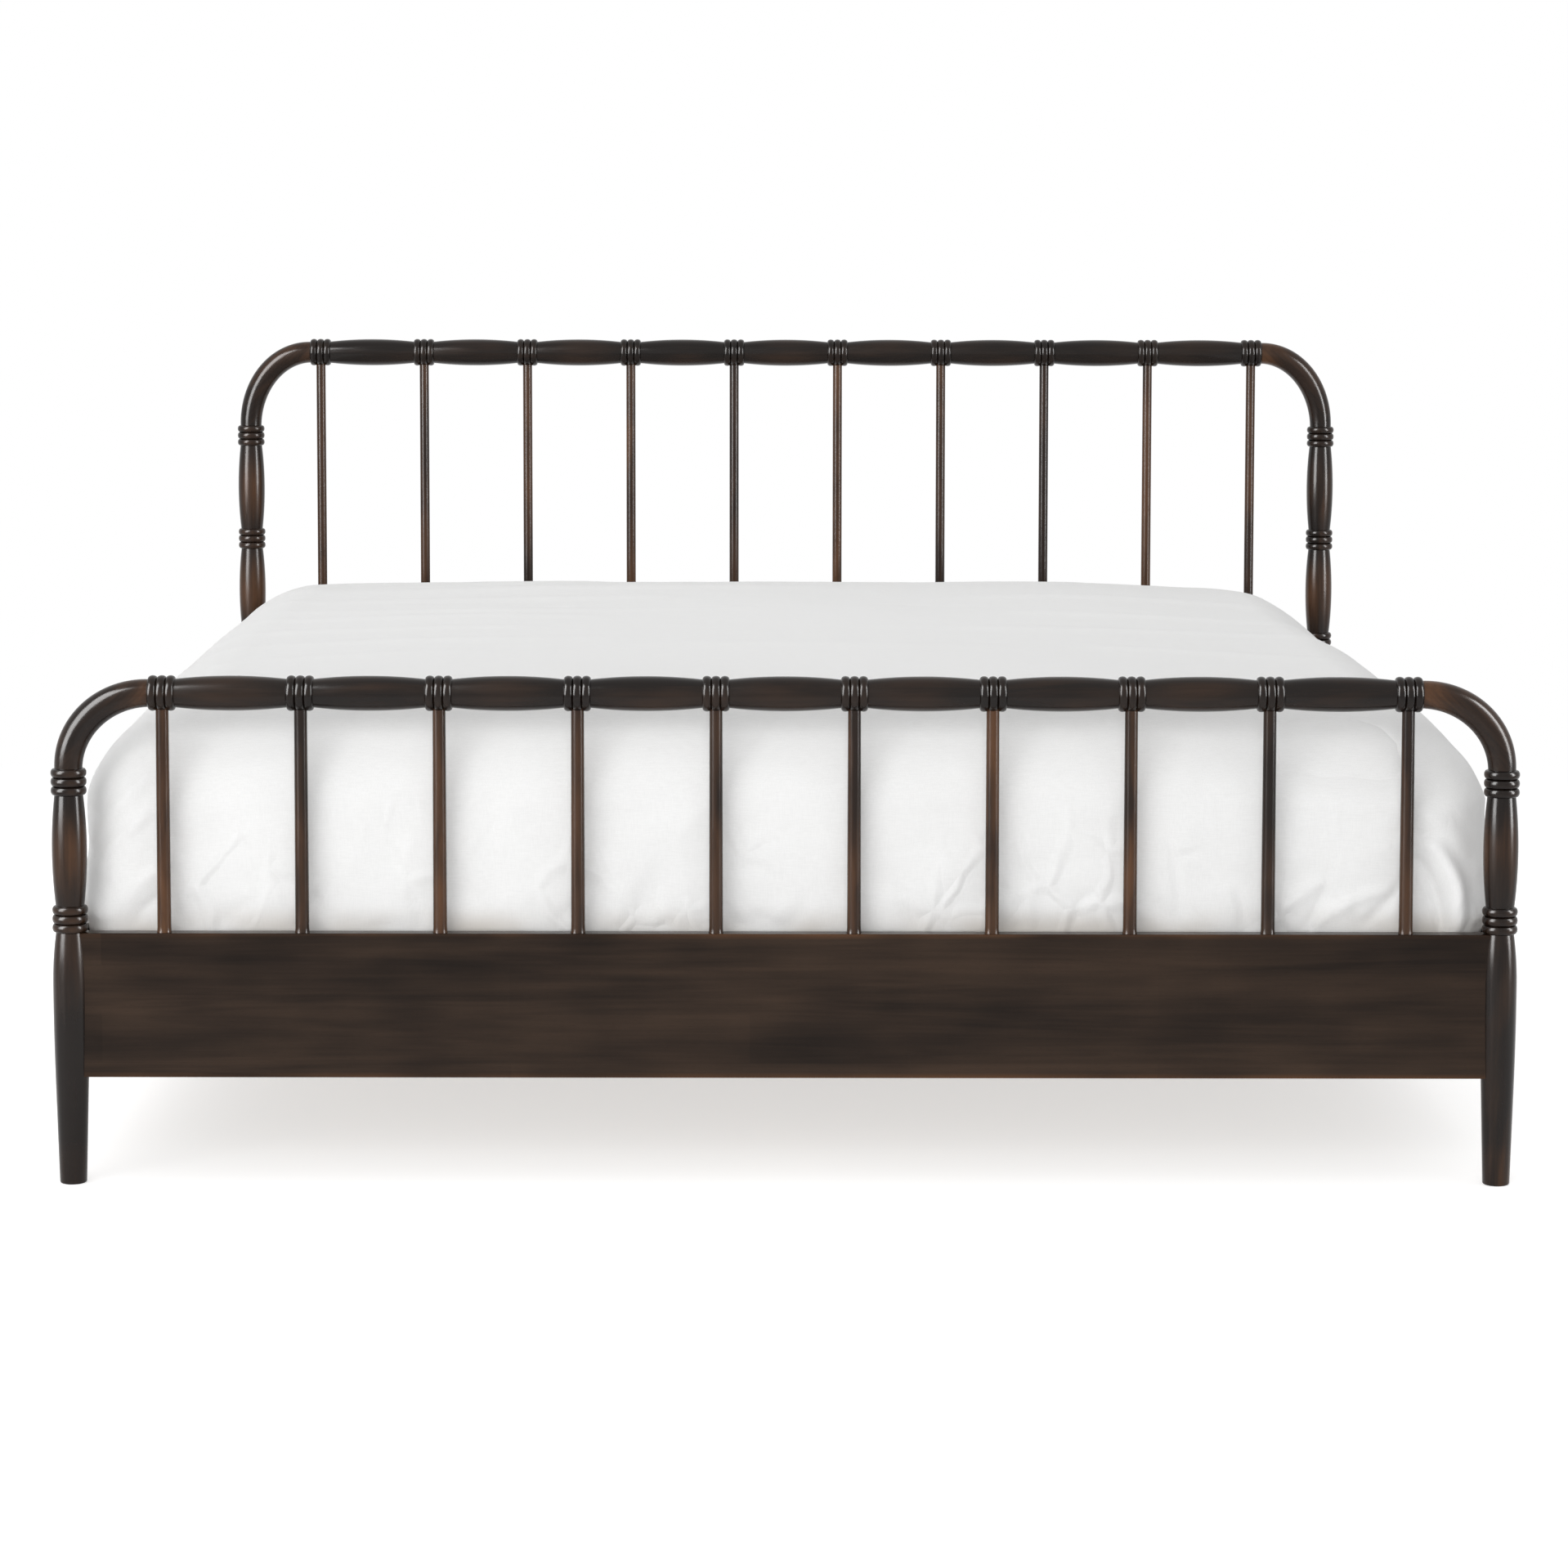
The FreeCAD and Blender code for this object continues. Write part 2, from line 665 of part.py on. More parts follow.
def soft_block(half_x, half_y, base, top, corner_radius, round_radius):
    """A block with round corners whose top edge rolls over in a quarter of a circle."""
    steps = int(dims.soft_steps)
    levels = [(0, base)]
    for step in range(steps + 1):
        angle = math.pi / 2 * step / steps
        levels.append((round_radius * (1 - math.cos(angle)), top - round_radius * (1 - math.sin(angle))))
    rings = []
    for inset, height in levels:
        across, along = half_x - corner_radius - inset, half_y - corner_radius - inset
        ring = []
        for corner_x, corner_y, first in ((1, 1, 0), (-1, 1, 1), (-1, -1, 2), (1, -1, 3)):
            centre = Vector(corner_x * across, corner_y * along, height)
            for step in range(steps + 1):
                angle = math.pi / 2 * (first + step / steps)
                ring.append(centre + Vector(math.cos(angle), math.sin(angle), 0) * corner_radius)
        rings.append(ring)
    return faceted(rings)


def mattress(name):
    """A closed padded case with round corners and a soft top edge, hollow where its springs are."""
    half_x, half_y = length(MATTRESS_X), length(MATTRESS_Y)
    base, top = length(BEDDING_BASE), length(MATTRESS_TOP)
    wall, corner_radius, round_radius = dims.mattress_wall, dims.mattress_corner, dims.mattress_round
    outside = soft_block(half_x, half_y, base, top, corner_radius, round_radius)
    hollow = soft_block(half_x - wall, half_y - wall, base + wall, top - wall,
                        corner_radius - wall, round_radius - wall)
    return solid_object(name, outside.cut(hollow), ("0", "0", "0"))


def cover(name):
    """The tucked cover: a shell round the mattress, open below, its hem under the side rails' tops."""
    hem = length(BEDDING_BASE) + dims.cover_hem_lift
    outside = soft_block(length(COVER_X), length(COVER_Y), hem, length(BEDDING_TOP),
                         dims.bedding_corner, dims.bedding_round)
    gap = dims.soft_gap
    inside = soft_block(length(MATTRESS_X) + gap, length(MATTRESS_Y) + gap, length(BEDDING_BASE),
                        length(MATTRESS_TOP) + gap, dims.mattress_corner + gap, dims.mattress_round)
    return solid_object(name, outside.cut(inside), ("0", "0", "0"))


# ---------------------------------------------------------------- the bed

nodes = {}


def keep(item, name):
    item.Label = name
    nodes[name] = item


for board, end in (("footboard", -1), ("headboard", 1)):
    for hand, side in (("left", -1), ("right", 1)):
        keep(post(f"{board}_post_{hand}", side, end), f"{board}_post_{hand}")
        keep(corner(f"{board}_corner_{hand}", side, end), f"{board}_corner_{hand}")
    keep(top_rail(f"{board}_top_rail", end), f"{board}_top_rail")
    keep(panel(f"{board}_panel", end), f"{board}_panel")
    for number, across in enumerate(spindle_places(), start=1):
        keep(spindle(f"{board}_spindle_{number:02d}", end, across), f"{board}_spindle_{number:02d}")

for hand, side in (("left", -1), ("right", 1)):
    keep(side_rail(f"side_rail_{hand}", side), f"side_rail_{hand}")
    place = (f"{side} * ({RAIL_FACE_X} - Dims.cleat_width / 2)", "0", f"{CLEAT_TOP} - Dims.cleat_height")
    run = f"2 * ({RAIL_END_Y} - Dims.cleat_end_gap)"
    keep(slab("cleat", "Dims.cleat_width", run, "Dims.cleat_height", place), f"slat_cleat_{hand}")

slat_run = f"(2 * {PANEL_FACE_Y} - 2 * Dims.slat_margin - Dims.slat_width)"
for index in range(int(dims.slat_count)):
    along = f"({index} / (Dims.slat_count - 1) - 0.5) * {slat_run}"
    slat = slab("slat", f"2 * ({RAIL_FACE_X} - Dims.slat_end_gap)", "Dims.slat_width", "Dims.slat_thickness",
                ("0", along, CLEAT_TOP))
    keep(slat, f"slat_{index + 1:02d}")

beam = slab("beam", "Dims.beam_width", f"2 * ({PANEL_FACE_Y} - Dims.hanger_steel)", "Dims.beam_height",
            ("0", "0", BEAM_BASE))
keep(beam, "center_beam")
keep(group("hangers", [hanger("hanger", end) for end in (-1, 1)]), "beam_hangers")

screws = [hanger_screw("screw", end, *place) for end in (-1, 1) for place in screw_places()]
keep(group("screws", screws), "hanger_screws")

leg_places = [f"{step} * Dims.leg_spacing / 2" for step in (-1, 1)]
for number, along in enumerate(leg_places, start=1):
    keep(centre_leg("leg", along), f"center_leg_{number}")
keep(group("glides", [glide("glide", along) for along in leg_places]), "leg_glides")

hands_and_ends = [(side, end) for end in (-1, 1) for side in (-1, 1)]
keep(group("hooks", [hook_plate("hook_plate", *pair) for pair in hands_and_ends]), "rail_hook_plates")
keep(group("receivers", [receiver_plate("receiver", *pair) for pair in hands_and_ends]),
     "post_receiver_plates")

dowels = []
for side, end in hands_and_ends:
    post_x, board_y = f"{side} * {POST_X}", f"{end} * {BOARD_Y}"
    dowels.append(dowel("dowel", (post_x, board_y, post_top(end)), Rotation()))
    joint_x = f"{side} * ({POST_X} - Dims.elbow_run)"
    dowels.append(dowel("dowel", (joint_x, board_y, rail_height(end)), Rotation(Vector(0, 1, 0), 90)))
keep(group("dowels", dowels), "corner_dowels")

keep(mattress("mattress_block"), "mattress")
keep(cover("cover"), "duvet")

doc.recompute()

for item in doc.Objects:
    if any(word in str(item.State) for word in ("Invalid", "Error")):
        raise RuntimeError(f"{item.Label} failed: {item.State}")
for name, item in nodes.items():
    if item.Shape.isNull() or not item.Shape.isValid():
        raise RuntimeError(f"{name} has no valid shape")

os.makedirs("parts", exist_ok=True)
for name, item in nodes.items():
    item.Shape.exportStep(f"parts/{name}.step")
print(len(nodes), "nodes")
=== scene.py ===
import math

import bpy
import numpy as np
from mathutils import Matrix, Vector


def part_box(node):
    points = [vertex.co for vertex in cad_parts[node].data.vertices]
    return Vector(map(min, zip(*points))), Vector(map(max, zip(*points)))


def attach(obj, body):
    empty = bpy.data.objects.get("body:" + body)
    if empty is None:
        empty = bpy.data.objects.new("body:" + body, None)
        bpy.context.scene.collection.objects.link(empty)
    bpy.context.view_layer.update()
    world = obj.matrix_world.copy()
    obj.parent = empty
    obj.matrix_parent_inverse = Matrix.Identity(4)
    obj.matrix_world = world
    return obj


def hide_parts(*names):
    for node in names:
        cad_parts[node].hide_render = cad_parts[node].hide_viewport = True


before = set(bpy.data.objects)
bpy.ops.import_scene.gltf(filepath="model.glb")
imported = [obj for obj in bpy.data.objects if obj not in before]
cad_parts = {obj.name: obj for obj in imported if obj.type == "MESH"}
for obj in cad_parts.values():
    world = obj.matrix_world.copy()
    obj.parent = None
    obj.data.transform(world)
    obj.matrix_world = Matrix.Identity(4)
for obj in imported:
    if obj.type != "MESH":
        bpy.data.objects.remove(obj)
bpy.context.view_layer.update()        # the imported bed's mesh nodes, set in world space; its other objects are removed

boards = {"footboard": -1, "headboard": 1}        # which way each board lies from the middle
hands = {"left": -1, "right": 1}

# the view, fitted to the spindles, panels and feet
shot = {
    "spot": (0.0006, -6.979, 1.3647),        # metres
    "pitchDown": 4.779,                      # degrees
    "turn": 0.031,                           # degrees to the left
    "roll": 0.07,                            # degrees
    "focalPixels": 5112.8,
    "frameSide": 1918,
    "axisRow": 713.7,                        # the picture row that the lens axis meets
    "sensor": 36.0,                          # millimetres
}


def makeCamera():
    side = shot["frameSide"]
    data = bpy.data.cameras.new("camera")
    data.sensor_width = shot["sensor"]
    data.lens = shot["sensor"] * shot["focalPixels"] / side
    data.shift_y = (shot["axisRow"] - side / 2) / side
    camera = bpy.data.objects.new("camera", data)
    camera.location = shot["spot"]
    camera.rotation_euler = (math.radians(90 - shot["pitchDown"]), -math.radians(shot["roll"]),
                             math.radians(shot["turn"]))
    bpy.context.scene.collection.objects.link(camera)
    bpy.context.scene.camera = camera


makeCamera()
print("camera set")


def blankMaterial(name):
    # an empty node tree with one Principled shader on its output
    material = bpy.data.materials.new(name)
    material.use_nodes = True
    tree = material.node_tree
    tree.nodes.clear()
    output = tree.nodes.new("ShaderNodeOutputMaterial")
    shader = tree.nodes.new("ShaderNodeBsdfPrincipled")
    tree.links.new(shader.outputs["BSDF"], output.inputs["Surface"])
    return material, tree, shader


def addNode(tree, kind, inputs=None, **settings):
    # a node with its settings, each input either linked to a socket or given a value
    node = tree.nodes.new(kind)
    for key, value in settings.items():
        setattr(node, key, value)
    for key, value in (inputs or {}).items():
        if isinstance(value, bpy.types.NodeSocket):
            tree.links.new(value, node.inputs[key])
        else:
            node.inputs[key].default_value = value
    return node


def maths(tree, operation, first, second=0.0):
    node = addNode(tree, "ShaderNodeMath", {0: first, 1: second}, operation=operation)
    return node.outputs[0]


def weighted(tree, *pairs):
    # a sum of values, each times its share
    total = maths(tree, "MULTIPLY", *pairs[0])
    for pair in pairs[1:]:
        total = maths(tree, "ADD", total, maths(tree, "MULTIPLY", *pair))
    return total


def attribute(tree, name, output="Vector"):
    return addNode(tree, "ShaderNodeAttribute", attribute_name=name).outputs[output]


def objectPlace(tree):
    return addNode(tree, "ShaderNodeTexCoord").outputs["Object"]


def axesOf(tree, vector):
    return addNode(tree, "ShaderNodeSeparateXYZ", {0: vector}).outputs


def stretched(tree, vector, scale, place=(0, 0, 0)):
    # the vector multiplied per axis, then moved
    mapping = addNode(tree, "ShaderNodeMapping", {"Vector": vector, "Scale": scale, "Location": place})
    return mapping.outputs[0]


def noise(tree, vector, scale=1.0, detail=3.0, roughness=0.55, distortion=0.0):
    node = addNode(tree, "ShaderNodeTexNoise", {"Vector": vector, "Scale": scale, "Detail": detail,
                                                "Roughness": roughness, "Distortion": distortion})
    return node.outputs["Fac"]


def ramped(tree, value, low, high, start=0.0, end=1.0):
    # value between low and high, eased to start and end
    node = addNode(tree, "ShaderNodeMapRange", {"Value": value, "From Min": low, "From Max": high,
                                                "To Min": start, "To Max": end},
                   interpolation_type="SMOOTHSTEP")
    return node.outputs[0]


def blended(tree, share, first, second):
    # a colour between two colours, each a socket or three numbers
    first = (*first, 1) if isinstance(first, tuple) else first
    second = (*second, 1) if isinstance(second, tuple) else second
    node = addNode(tree, "ShaderNodeMix", {0: share, 6: first, 7: second}, data_type="RGBA")
    return node.outputs[2]


def bumped(tree, height, distance, strength, normal=None, shader=None):
    # the normal of a bump over another one, set on the shader where one is given
    inputs = {"Height": height, "Distance": distance, "Strength": strength}
    if normal:
        inputs["Normal"] = normal
    bump = addNode(tree, "ShaderNodeBump", inputs).outputs[0]
    if shader:
        tree.links.new(bump, shader.inputs["Normal"])
    return bump


espresso = {
    "deep": (0.0065, 0.0043, 0.0034),        # the stain at its darkest
    # where the figure shows
    "brown": {"turned": (0.018, 0.0100, 0.0062), "panel": (0.055, 0.0335, 0.0220)},
    "amber": (0.145, 0.062, 0.025),          # rubbed thin on crests and swells
    # waves per metre across, across and along the grain
    "streaks": (260, 260, 9),
    "figure": {"turned": (24, 24, 3), "panel": (26, 26, 1.5)},
    "blotches": (11, 11, 4.5),
    "pores": (1500, 1500, 70),
    "sanding": (45, 45, 22),
    "shares": {"streaks": 0.10, "figure": 0.50, "blotches": 0.44},
    "contrast": {"turned": (0.44, 0.72), "panel": (0.22, 0.86)},
    "rubbed": (0.42, 0.66, 0.12, 1.0),       # how much of the rubbed colour the mix lets through
    "filled": (0.60, 0.76, 0.0, 0.25),       # how the pores hold the stain
    "roughness": (0.17, 0.25),
    "specular": {"turned": 0.22, "panel": 0.10},
    "pore": (0.00012, 0.2),                  # depth and strength of the bumps
    "sanded": (0.0007, 0.12),
}


def espressoWood(name, kind):
    # dark lacquered wood: streaks, figure and blotches along the grain, rubbed where "wear" says
    material, tree, shader = blankMaterial(name)
    grain = attribute(tree, "grain")
    wear = attribute(tree, "wear", "Fac")
    streaks = noise(tree, stretched(tree, grain, espresso["streaks"]), detail=4)
    figure = noise(tree, stretched(tree, grain, espresso["figure"][kind]), detail=3, distortion=0.8)
    blotches = noise(tree, stretched(tree, grain, espresso["blotches"]), detail=2)
    pores = noise(tree, stretched(tree, grain, espresso["pores"]), detail=1)
    shares = espresso["shares"]
    mix = weighted(tree, (streaks, shares["streaks"]), (figure, shares["figure"]),
                   (blotches, shares["blotches"]))
    if kind == "panel":
        mix = maths(tree, "ADD", mix, staveTint(tree, grain))
    colour = blended(tree, ramped(tree, mix, *espresso["contrast"][kind]), espresso["deep"],
                     espresso["brown"][kind])
    thin = maths(tree, "MULTIPLY", wear, ramped(tree, mix, *espresso["rubbed"]))
    colour = blended(tree, thin, colour, espresso["amber"])
    colour = blended(tree, ramped(tree, pores, *espresso["filled"]), colour, espresso["deep"])
    tree.links.new(colour, shader.inputs["Base Color"])
    tree.links.new(ramped(tree, maths(tree, "ADD", blotches, streaks), 0.8, 1.2, *espresso["roughness"]),
                   shader.inputs["Roughness"])
    shader.inputs["Specular IOR Level"].default_value = espresso["specular"][kind]
    sanding = noise(tree, stretched(tree, grain, espresso["sanding"]), detail=2)
    uneven = bumped(tree, sanding, *espresso["sanded"])
    bumped(tree, maths(tree, "ADD", streaks, pores), *espresso["pore"], uneven, shader)
    return material


glueUp = {"staveLength": 0.93, "staveWidth": 0.071, "stagger": 0.37, "seam": 0.0003, "seamTint": 0.2,
          "tint": 0.07, "start": (0.05, 0.012)}


def staveTint(tree, grain):
    # each glued stave a little lighter or darker: brick tints over the board's length and width
    axes = axesOf(tree, grain)
    flat = addNode(tree, "ShaderNodeCombineXYZ", {0: axes[2], 1: axes[0]}).outputs[0]
    bricks = addNode(tree, "ShaderNodeTexBrick",
                     {"Vector": stretched(tree, flat, (1, 1, 1), (*glueUp["start"], 0)), "Scale": 1.0,
                      "Color1": (0, 0, 0, 1), "Color2": (1, 1, 1, 1),
                      "Mortar": (*(glueUp["seamTint"],) * 3, 1), "Mortar Size": glueUp["seam"],
                      "Brick Width": glueUp["staveLength"], "Row Height": glueUp["staveWidth"]},
                     offset=glueUp["stagger"])
    return maths(tree, "MULTIPLY", maths(tree, "SUBTRACT", bricks.outputs["Color"], 0.5), glueUp["tint"])


pine = {
    "pale": (0.56, 0.39, 0.22), "late": (0.37, 0.21, 0.10),    # early wood and late wood
    "ringPitch": 0.011,
    "wander": (9, 9, 1.6), "wanderTurn": 14.0,                 # how the rings drift, in radians
    "fibres": (500, 500, 12),
    "shares": {"bands": 0.55, "fibres": 0.3},
    "roughness": 0.62,
}


def pineWood():
    # planed softwood: bands of late wood, the sine of the distance across the rings plus a drift
    material, tree, shader = blankMaterial("pineWood")
    grain = attribute(tree, "grain")
    wander = noise(tree, stretched(tree, grain, pine["wander"]), detail=2)
    axes = axesOf(tree, grain)
    across = weighted(tree, (axes[0], 2 * math.pi / pine["ringPitch"]), (wander, pine["wanderTurn"]))
    bands = ramped(tree, maths(tree, "SINE", across), 0.1, 1.0)
    fibres = noise(tree, stretched(tree, grain, pine["fibres"]), detail=3)
    share = weighted(tree, (bands, pine["shares"]["bands"]), (fibres, pine["shares"]["fibres"]))
    tree.links.new(blended(tree, share, pine["pale"], pine["late"]), shader.inputs["Base Color"])
    shader.inputs["Roughness"].default_value = pine["roughness"]
    bumped(tree, fibres, 0.0001, 0.4, shader=shader)
    return material


zinc = {"dark": (0.42, 0.43, 0.44), "light": (0.66, 0.66, 0.65), "spangle": 60, "brushing": (300, 300, 3000),
        "roughness": (0.28, 0.45)}


def zincSteel():
    # zinc plate: cloudy spangle with a brushed fleck
    material, tree, shader = blankMaterial("zincSteel")
    place = objectPlace(tree)
    cloud = noise(tree, place, zinc["spangle"], detail=3)
    fleck = noise(tree, stretched(tree, place, zinc["brushing"]), detail=1)
    tree.links.new(blended(tree, cloud, zinc["dark"], zinc["light"]), shader.inputs["Base Color"])
    tree.links.new(ramped(tree, maths(tree, "ADD", cloud, fleck), 0.7, 1.3, *zinc["roughness"]),
                   shader.inputs["Roughness"])
    shader.inputs["Metallic"].default_value = 1.0
    bumped(tree, fleck, 0.00005, 0.3, shader=shader)
    return material


plastic = {"dark": (0.018, 0.018, 0.019), "light": (0.03, 0.03, 0.031), "pebbles": 2400, "roughness": 0.55}


def blackPlastic():
    # moulded with a fine pebble
    material, tree, shader = blankMaterial("blackPlastic")
    place = objectPlace(tree)
    pebble = noise(tree, place, plastic["pebbles"], detail=2)
    tree.links.new(blended(tree, pebble, plastic["dark"], plastic["light"]), shader.inputs["Base Color"])
    shader.inputs["Roughness"].default_value = plastic["roughness"]
    bumped(tree, pebble, 0.00008, 0.5, shader=shader)
    return material


cotton = {
    "white": (0.87, 0.87, 0.865), "shaded": (0.82, 0.82, 0.815),
    "roughness": 0.88, "sheen": 0.12, "specular": 0.25,
    "threadPitch": 0.0007, "thread": (0.00006, 0.5),   # depth and strength of the bump, here and below
    "slubs": ((60, 900, 900), (900, 900, 60)),         # thicker threads, along and up
    "rumplePitch": 0.035, "rumple": (0.0012, 0.45),
    "creasePitch": 0.075, "crease": (0.0035, 0.7),
    "creaseBend": 0.08,                                # metres that a noise pushes the creases about
    "creaseWidth": 0.16,
    "creasePatches": (0.40, 0.58),
    "creasesBelow": (0.60, 0.42),                      # heights between which they grow
    # painted shade: a warm shade standing in for the panel's shadow and bounce on the cloth
    "tuck": (0.62, 0.575, 0.52),                       # painted warm shade, duller where the cover tucks in behind the panel
    "tuckHeights": (0.405, 0.362),
    "paintedShadeShare": 0.75,
}


def whiteCotton():
    # washed plain weave: crossing threads and slubs, a painted warm shade in patches low along the hem, a
    # fine rumple and sharper creases towards the hem
    material, tree, shader = blankMaterial("whiteCotton")
    place = objectPlace(tree)
    axes = axesOf(tree, place)
    turns = 2 * math.pi / cotton["threadPitch"]
    threads = 0.0
    for axis in axes:
        # a sum of one sine per axis weaves two of them on any face
        threads = maths(tree, "ADD", maths(tree, "SINE", maths(tree, "MULTIPLY", axis, turns)), threads)
    along, upward = (noise(tree, stretched(tree, place, scale), detail=2) for scale in cotton["slubs"])
    tone = weighted(tree, (along, 0.5), (upward, 0.5))
    colour = blended(tree, ramped(tree, tone, 0.3, 0.7), cotton["shaded"], cotton["white"])
    # painted shade: the colour darkens in patches below the hem heights, standing in for the panel's shadow
    # and warm bounce
    paintedShadeMask = maths(tree, "MULTIPLY", ramped(tree, axes[2], *cotton["tuckHeights"]),
                   ramped(tree, noise(tree, place, 5.0, detail=2), 0.38, 0.62, 0.15, 1.0))
    colour = blended(tree, maths(tree, "MULTIPLY", paintedShadeMask, cotton["paintedShadeShare"]), colour, cotton["tuck"])
    tree.links.new(colour, shader.inputs["Base Color"])
    shader.inputs["Roughness"].default_value = cotton["roughness"]
    shader.inputs["Sheen Weight"].default_value = cotton["sheen"]
    shader.inputs["Specular IOR Level"].default_value = cotton["specular"]
    rumple = noise(tree, place, 1 / cotton["rumplePitch"], detail=3, roughness=0.45, distortion=0.5)
    # creases run along the borders between the cells of a bent Voronoi pattern
    push = addNode(tree, "ShaderNodeTexNoise", {"Vector": place, "Scale": 7.0, "Detail": 2.0})
    pushed = stretched(tree, push.outputs["Color"], (cotton["creaseBend"],) * 3)
    bent = addNode(tree, "ShaderNodeVectorMath", {0: place, 1: pushed}, operation="ADD")
    cells = addNode(tree, "ShaderNodeTexVoronoi", {"Vector": stretched(tree, bent.outputs[0], (1, 1, 0.7)),
                                                   "Scale": 1 / cotton["creasePitch"]},
                    feature="DISTANCE_TO_EDGE")
    ridge = ramped(tree, cells.outputs["Distance"], cotton["creaseWidth"], 0.0)
    patches = ramped(tree, noise(tree, place, 4.0, detail=1), *cotton["creasePatches"])
    low = ramped(tree, axes[2], *cotton["creasesBelow"])
    creases = maths(tree, "MULTIPLY", ridge, maths(tree, "MULTIPLY", patches, low))
    folded = bumped(tree, creases, *cotton["crease"])
    coarse = bumped(tree, rumple, *cotton["rumple"], folded)
    bumped(tree, maths(tree, "ADD", threads, tone), *cotton["thread"], coarse, shader)
    return material


ticking = {"ground": (0.78, 0.76, 0.70), "stripe": (0.62, 0.60, 0.54), "stripePitch": 0.024,
           "slubs": (700, 90, 1), "roughness": 0.85}


def mattressTicking():
    # heavy woven case with a soft tone-on-tone stripe
    material, tree, shader = blankMaterial("mattressTicking")
    cloth = attribute(tree, "weave")
    axes = axesOf(tree, cloth)
    wave = maths(tree, "SINE", maths(tree, "MULTIPLY", axes[0], 2 * math.pi / ticking["stripePitch"]))
    slubs = noise(tree, stretched(tree, cloth, ticking["slubs"]), detail=2)
    share = maths(tree, "ADD", ramped(tree, wave, 0.55, 0.75, 0, 0.7), maths(tree, "MULTIPLY", slubs, 0.3))
    tree.links.new(blended(tree, share, ticking["ground"], ticking["stripe"]), shader.inputs["Base Color"])
    shader.inputs["Roughness"].default_value = ticking["roughness"]
    bumped(tree, maths(tree, "ADD", slubs, wave), 0.0002, 0.4, shader=shader)
    return material


finishes = {
    "turned": espressoWood("espressoTurned", "turned"),
    "panel": espressoWood("espressoPanel", "panel"),
    "pine": pineWood(),
    "steel": zincSteel(),
    "plastic": blackPlastic(),
    "cotton": whiteCotton(),
    "ticking": mattressTicking(),
}
print("finishes made")


def gridFaces(rings, sides):
    # quads between each ring and the next, closed round the ring, and a fan on a centre point at each end
    ring, side = np.meshgrid(np.arange(rings - 1), np.arange(sides), indexing="ij")
    after = (side + 1) % sides
    quads = np.stack([ring * sides + side, ring * sides + after,
                      (ring + 1) * sides + after, (ring + 1) * sides + side], axis=-1).reshape(-1, 4)
    edge = np.arange(sides)
    nextEdge = (edge + 1) % sides
    first = np.stack([nextEdge, edge, np.full(sides, rings * sides)], axis=-1)
    lastRing = (rings - 1) * sides
    last = np.stack([lastRing + edge, lastRing + nextEdge, np.full(sides, rings * sides + 1)], axis=-1)
    return quads.tolist() + first.tolist() + last.tolist()


def closedSurface(name, points, attributes, finish, body, replaced, sharpAngle=40):
    # points[ring, side] is a closed tube of rings, capped at both ends at the rings' centres;
    # attributes give each point more values, such as its place in the wood
    rings, sides = points.shape[:2]

    def capped(values):
        flat = values.reshape(rings * sides, -1)
        return np.concatenate([flat, values[:1].mean(axis=1).reshape(1, -1),
                               values[-1:].mean(axis=1).reshape(1, -1)])

    mesh = bpy.data.meshes.new(name)
    mesh.from_pydata(capped(points).tolist(), [], gridFaces(rings, sides))
    for key, values in attributes.items():
        kind = "FLOAT_VECTOR" if values.ndim == 3 else "FLOAT"
        field = "vector" if values.ndim == 3 else "value"
        attribute = mesh.attributes.new(key, kind, "POINT")
        attribute.data.foreach_set(field, capped(values).astype(np.float32).ravel())
    mesh.materials.append(finishes[finish])
    mesh.shade_smooth()
    mesh.set_sharp_from_angle(angle=math.radians(sharpAngle))
    piece = bpy.data.objects.new(name, mesh)
    bpy.context.scene.collection.objects.link(piece)
    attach(piece, body)
    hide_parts(replaced)
    return piece


def woodOffset(seed):
    # every piece is cut from another place in the log
    return np.random.default_rng(seed).uniform(-3, 3, 3)


def turnedPiece(node, radii, stations, start, along, seed, wear, sides=60):
    # point = start + station * along + radius * (cos(turn) * first + sin(turn) * second);
    # the grain runs along the axis
    along = np.array(along, float)
    first = np.cross((0.0, 1.0, 0.0), along)
    second = np.cross(along, first)
    turn = np.linspace(0, 2 * math.pi, sides, endpoint=False)
    radii, stations = np.array(radii)[:, None], np.array(stations)[:, None]
    spokes = np.cos(turn)[:, None] * first + np.sin(turn)[:, None] * second
    points = np.array(start) + stations[..., None] * along + radii[..., None] * spokes
    grain = np.stack([radii * np.cos(turn), radii * np.sin(turn), stations + 0 * turn], axis=-1)
    values = {"grain": grain + woodOffset(seed), "wear": wear[:, None] + 0 * turn}
    closedSurface(f"{node}_turned", points, values, "turned", "bed_frame", node)


turning = {
    "modulePitch": 0.198,        # one collar and one barrel
    "beadCount": 3,
    "beadPitch": 0.013,
    "beadRadius": 0.0255,
    "grooveRadius": 0.0215,
    "waistRadius": 0.0205,
    "barrelRadius": 0.0250,
    "beadSteps": 12,
    "barrelSteps": 26,
    # how far the stain is rubbed off: all over, and more on the crests
    "collarWear": (0.05, 0.16),
    "barrelWear": (0.06, 0.46),
    "railShare": 0.15,           # the top rails have this share of it
}
collarLength = turning["beadCount"] * turning["beadPitch"]


def collarProfile(start):
    # beads side by side: each rises from the groove as a half ellipse; the crests are worn
    radii, stations, wear = [], [], []
    plainWear, crestWear = turning["collarWear"]
    share = np.linspace(0, 1, turning["beadSteps"] + 1)
    rise = np.sqrt(1 - (2 * share - 1) ** 2)
    last = turning["beadCount"] - 1
    for bead in range(turning["beadCount"]):
        foot = np.full_like(share, turning["grooveRadius"])
        if bead in (0, last):
            edgeSide = share < 0.5 if bead == 0 else share > 0.5
            foot[edgeSide] = turning["waistRadius"]
        radii.append(foot + (turning["beadRadius"] - foot) * rise)
        stations.append(start + turning["beadPitch"] * (bead + share))
        wear.append(plainWear + crestWear * rise ** 4)
    return np.concatenate(radii), np.concatenate(stations), np.concatenate(wear)


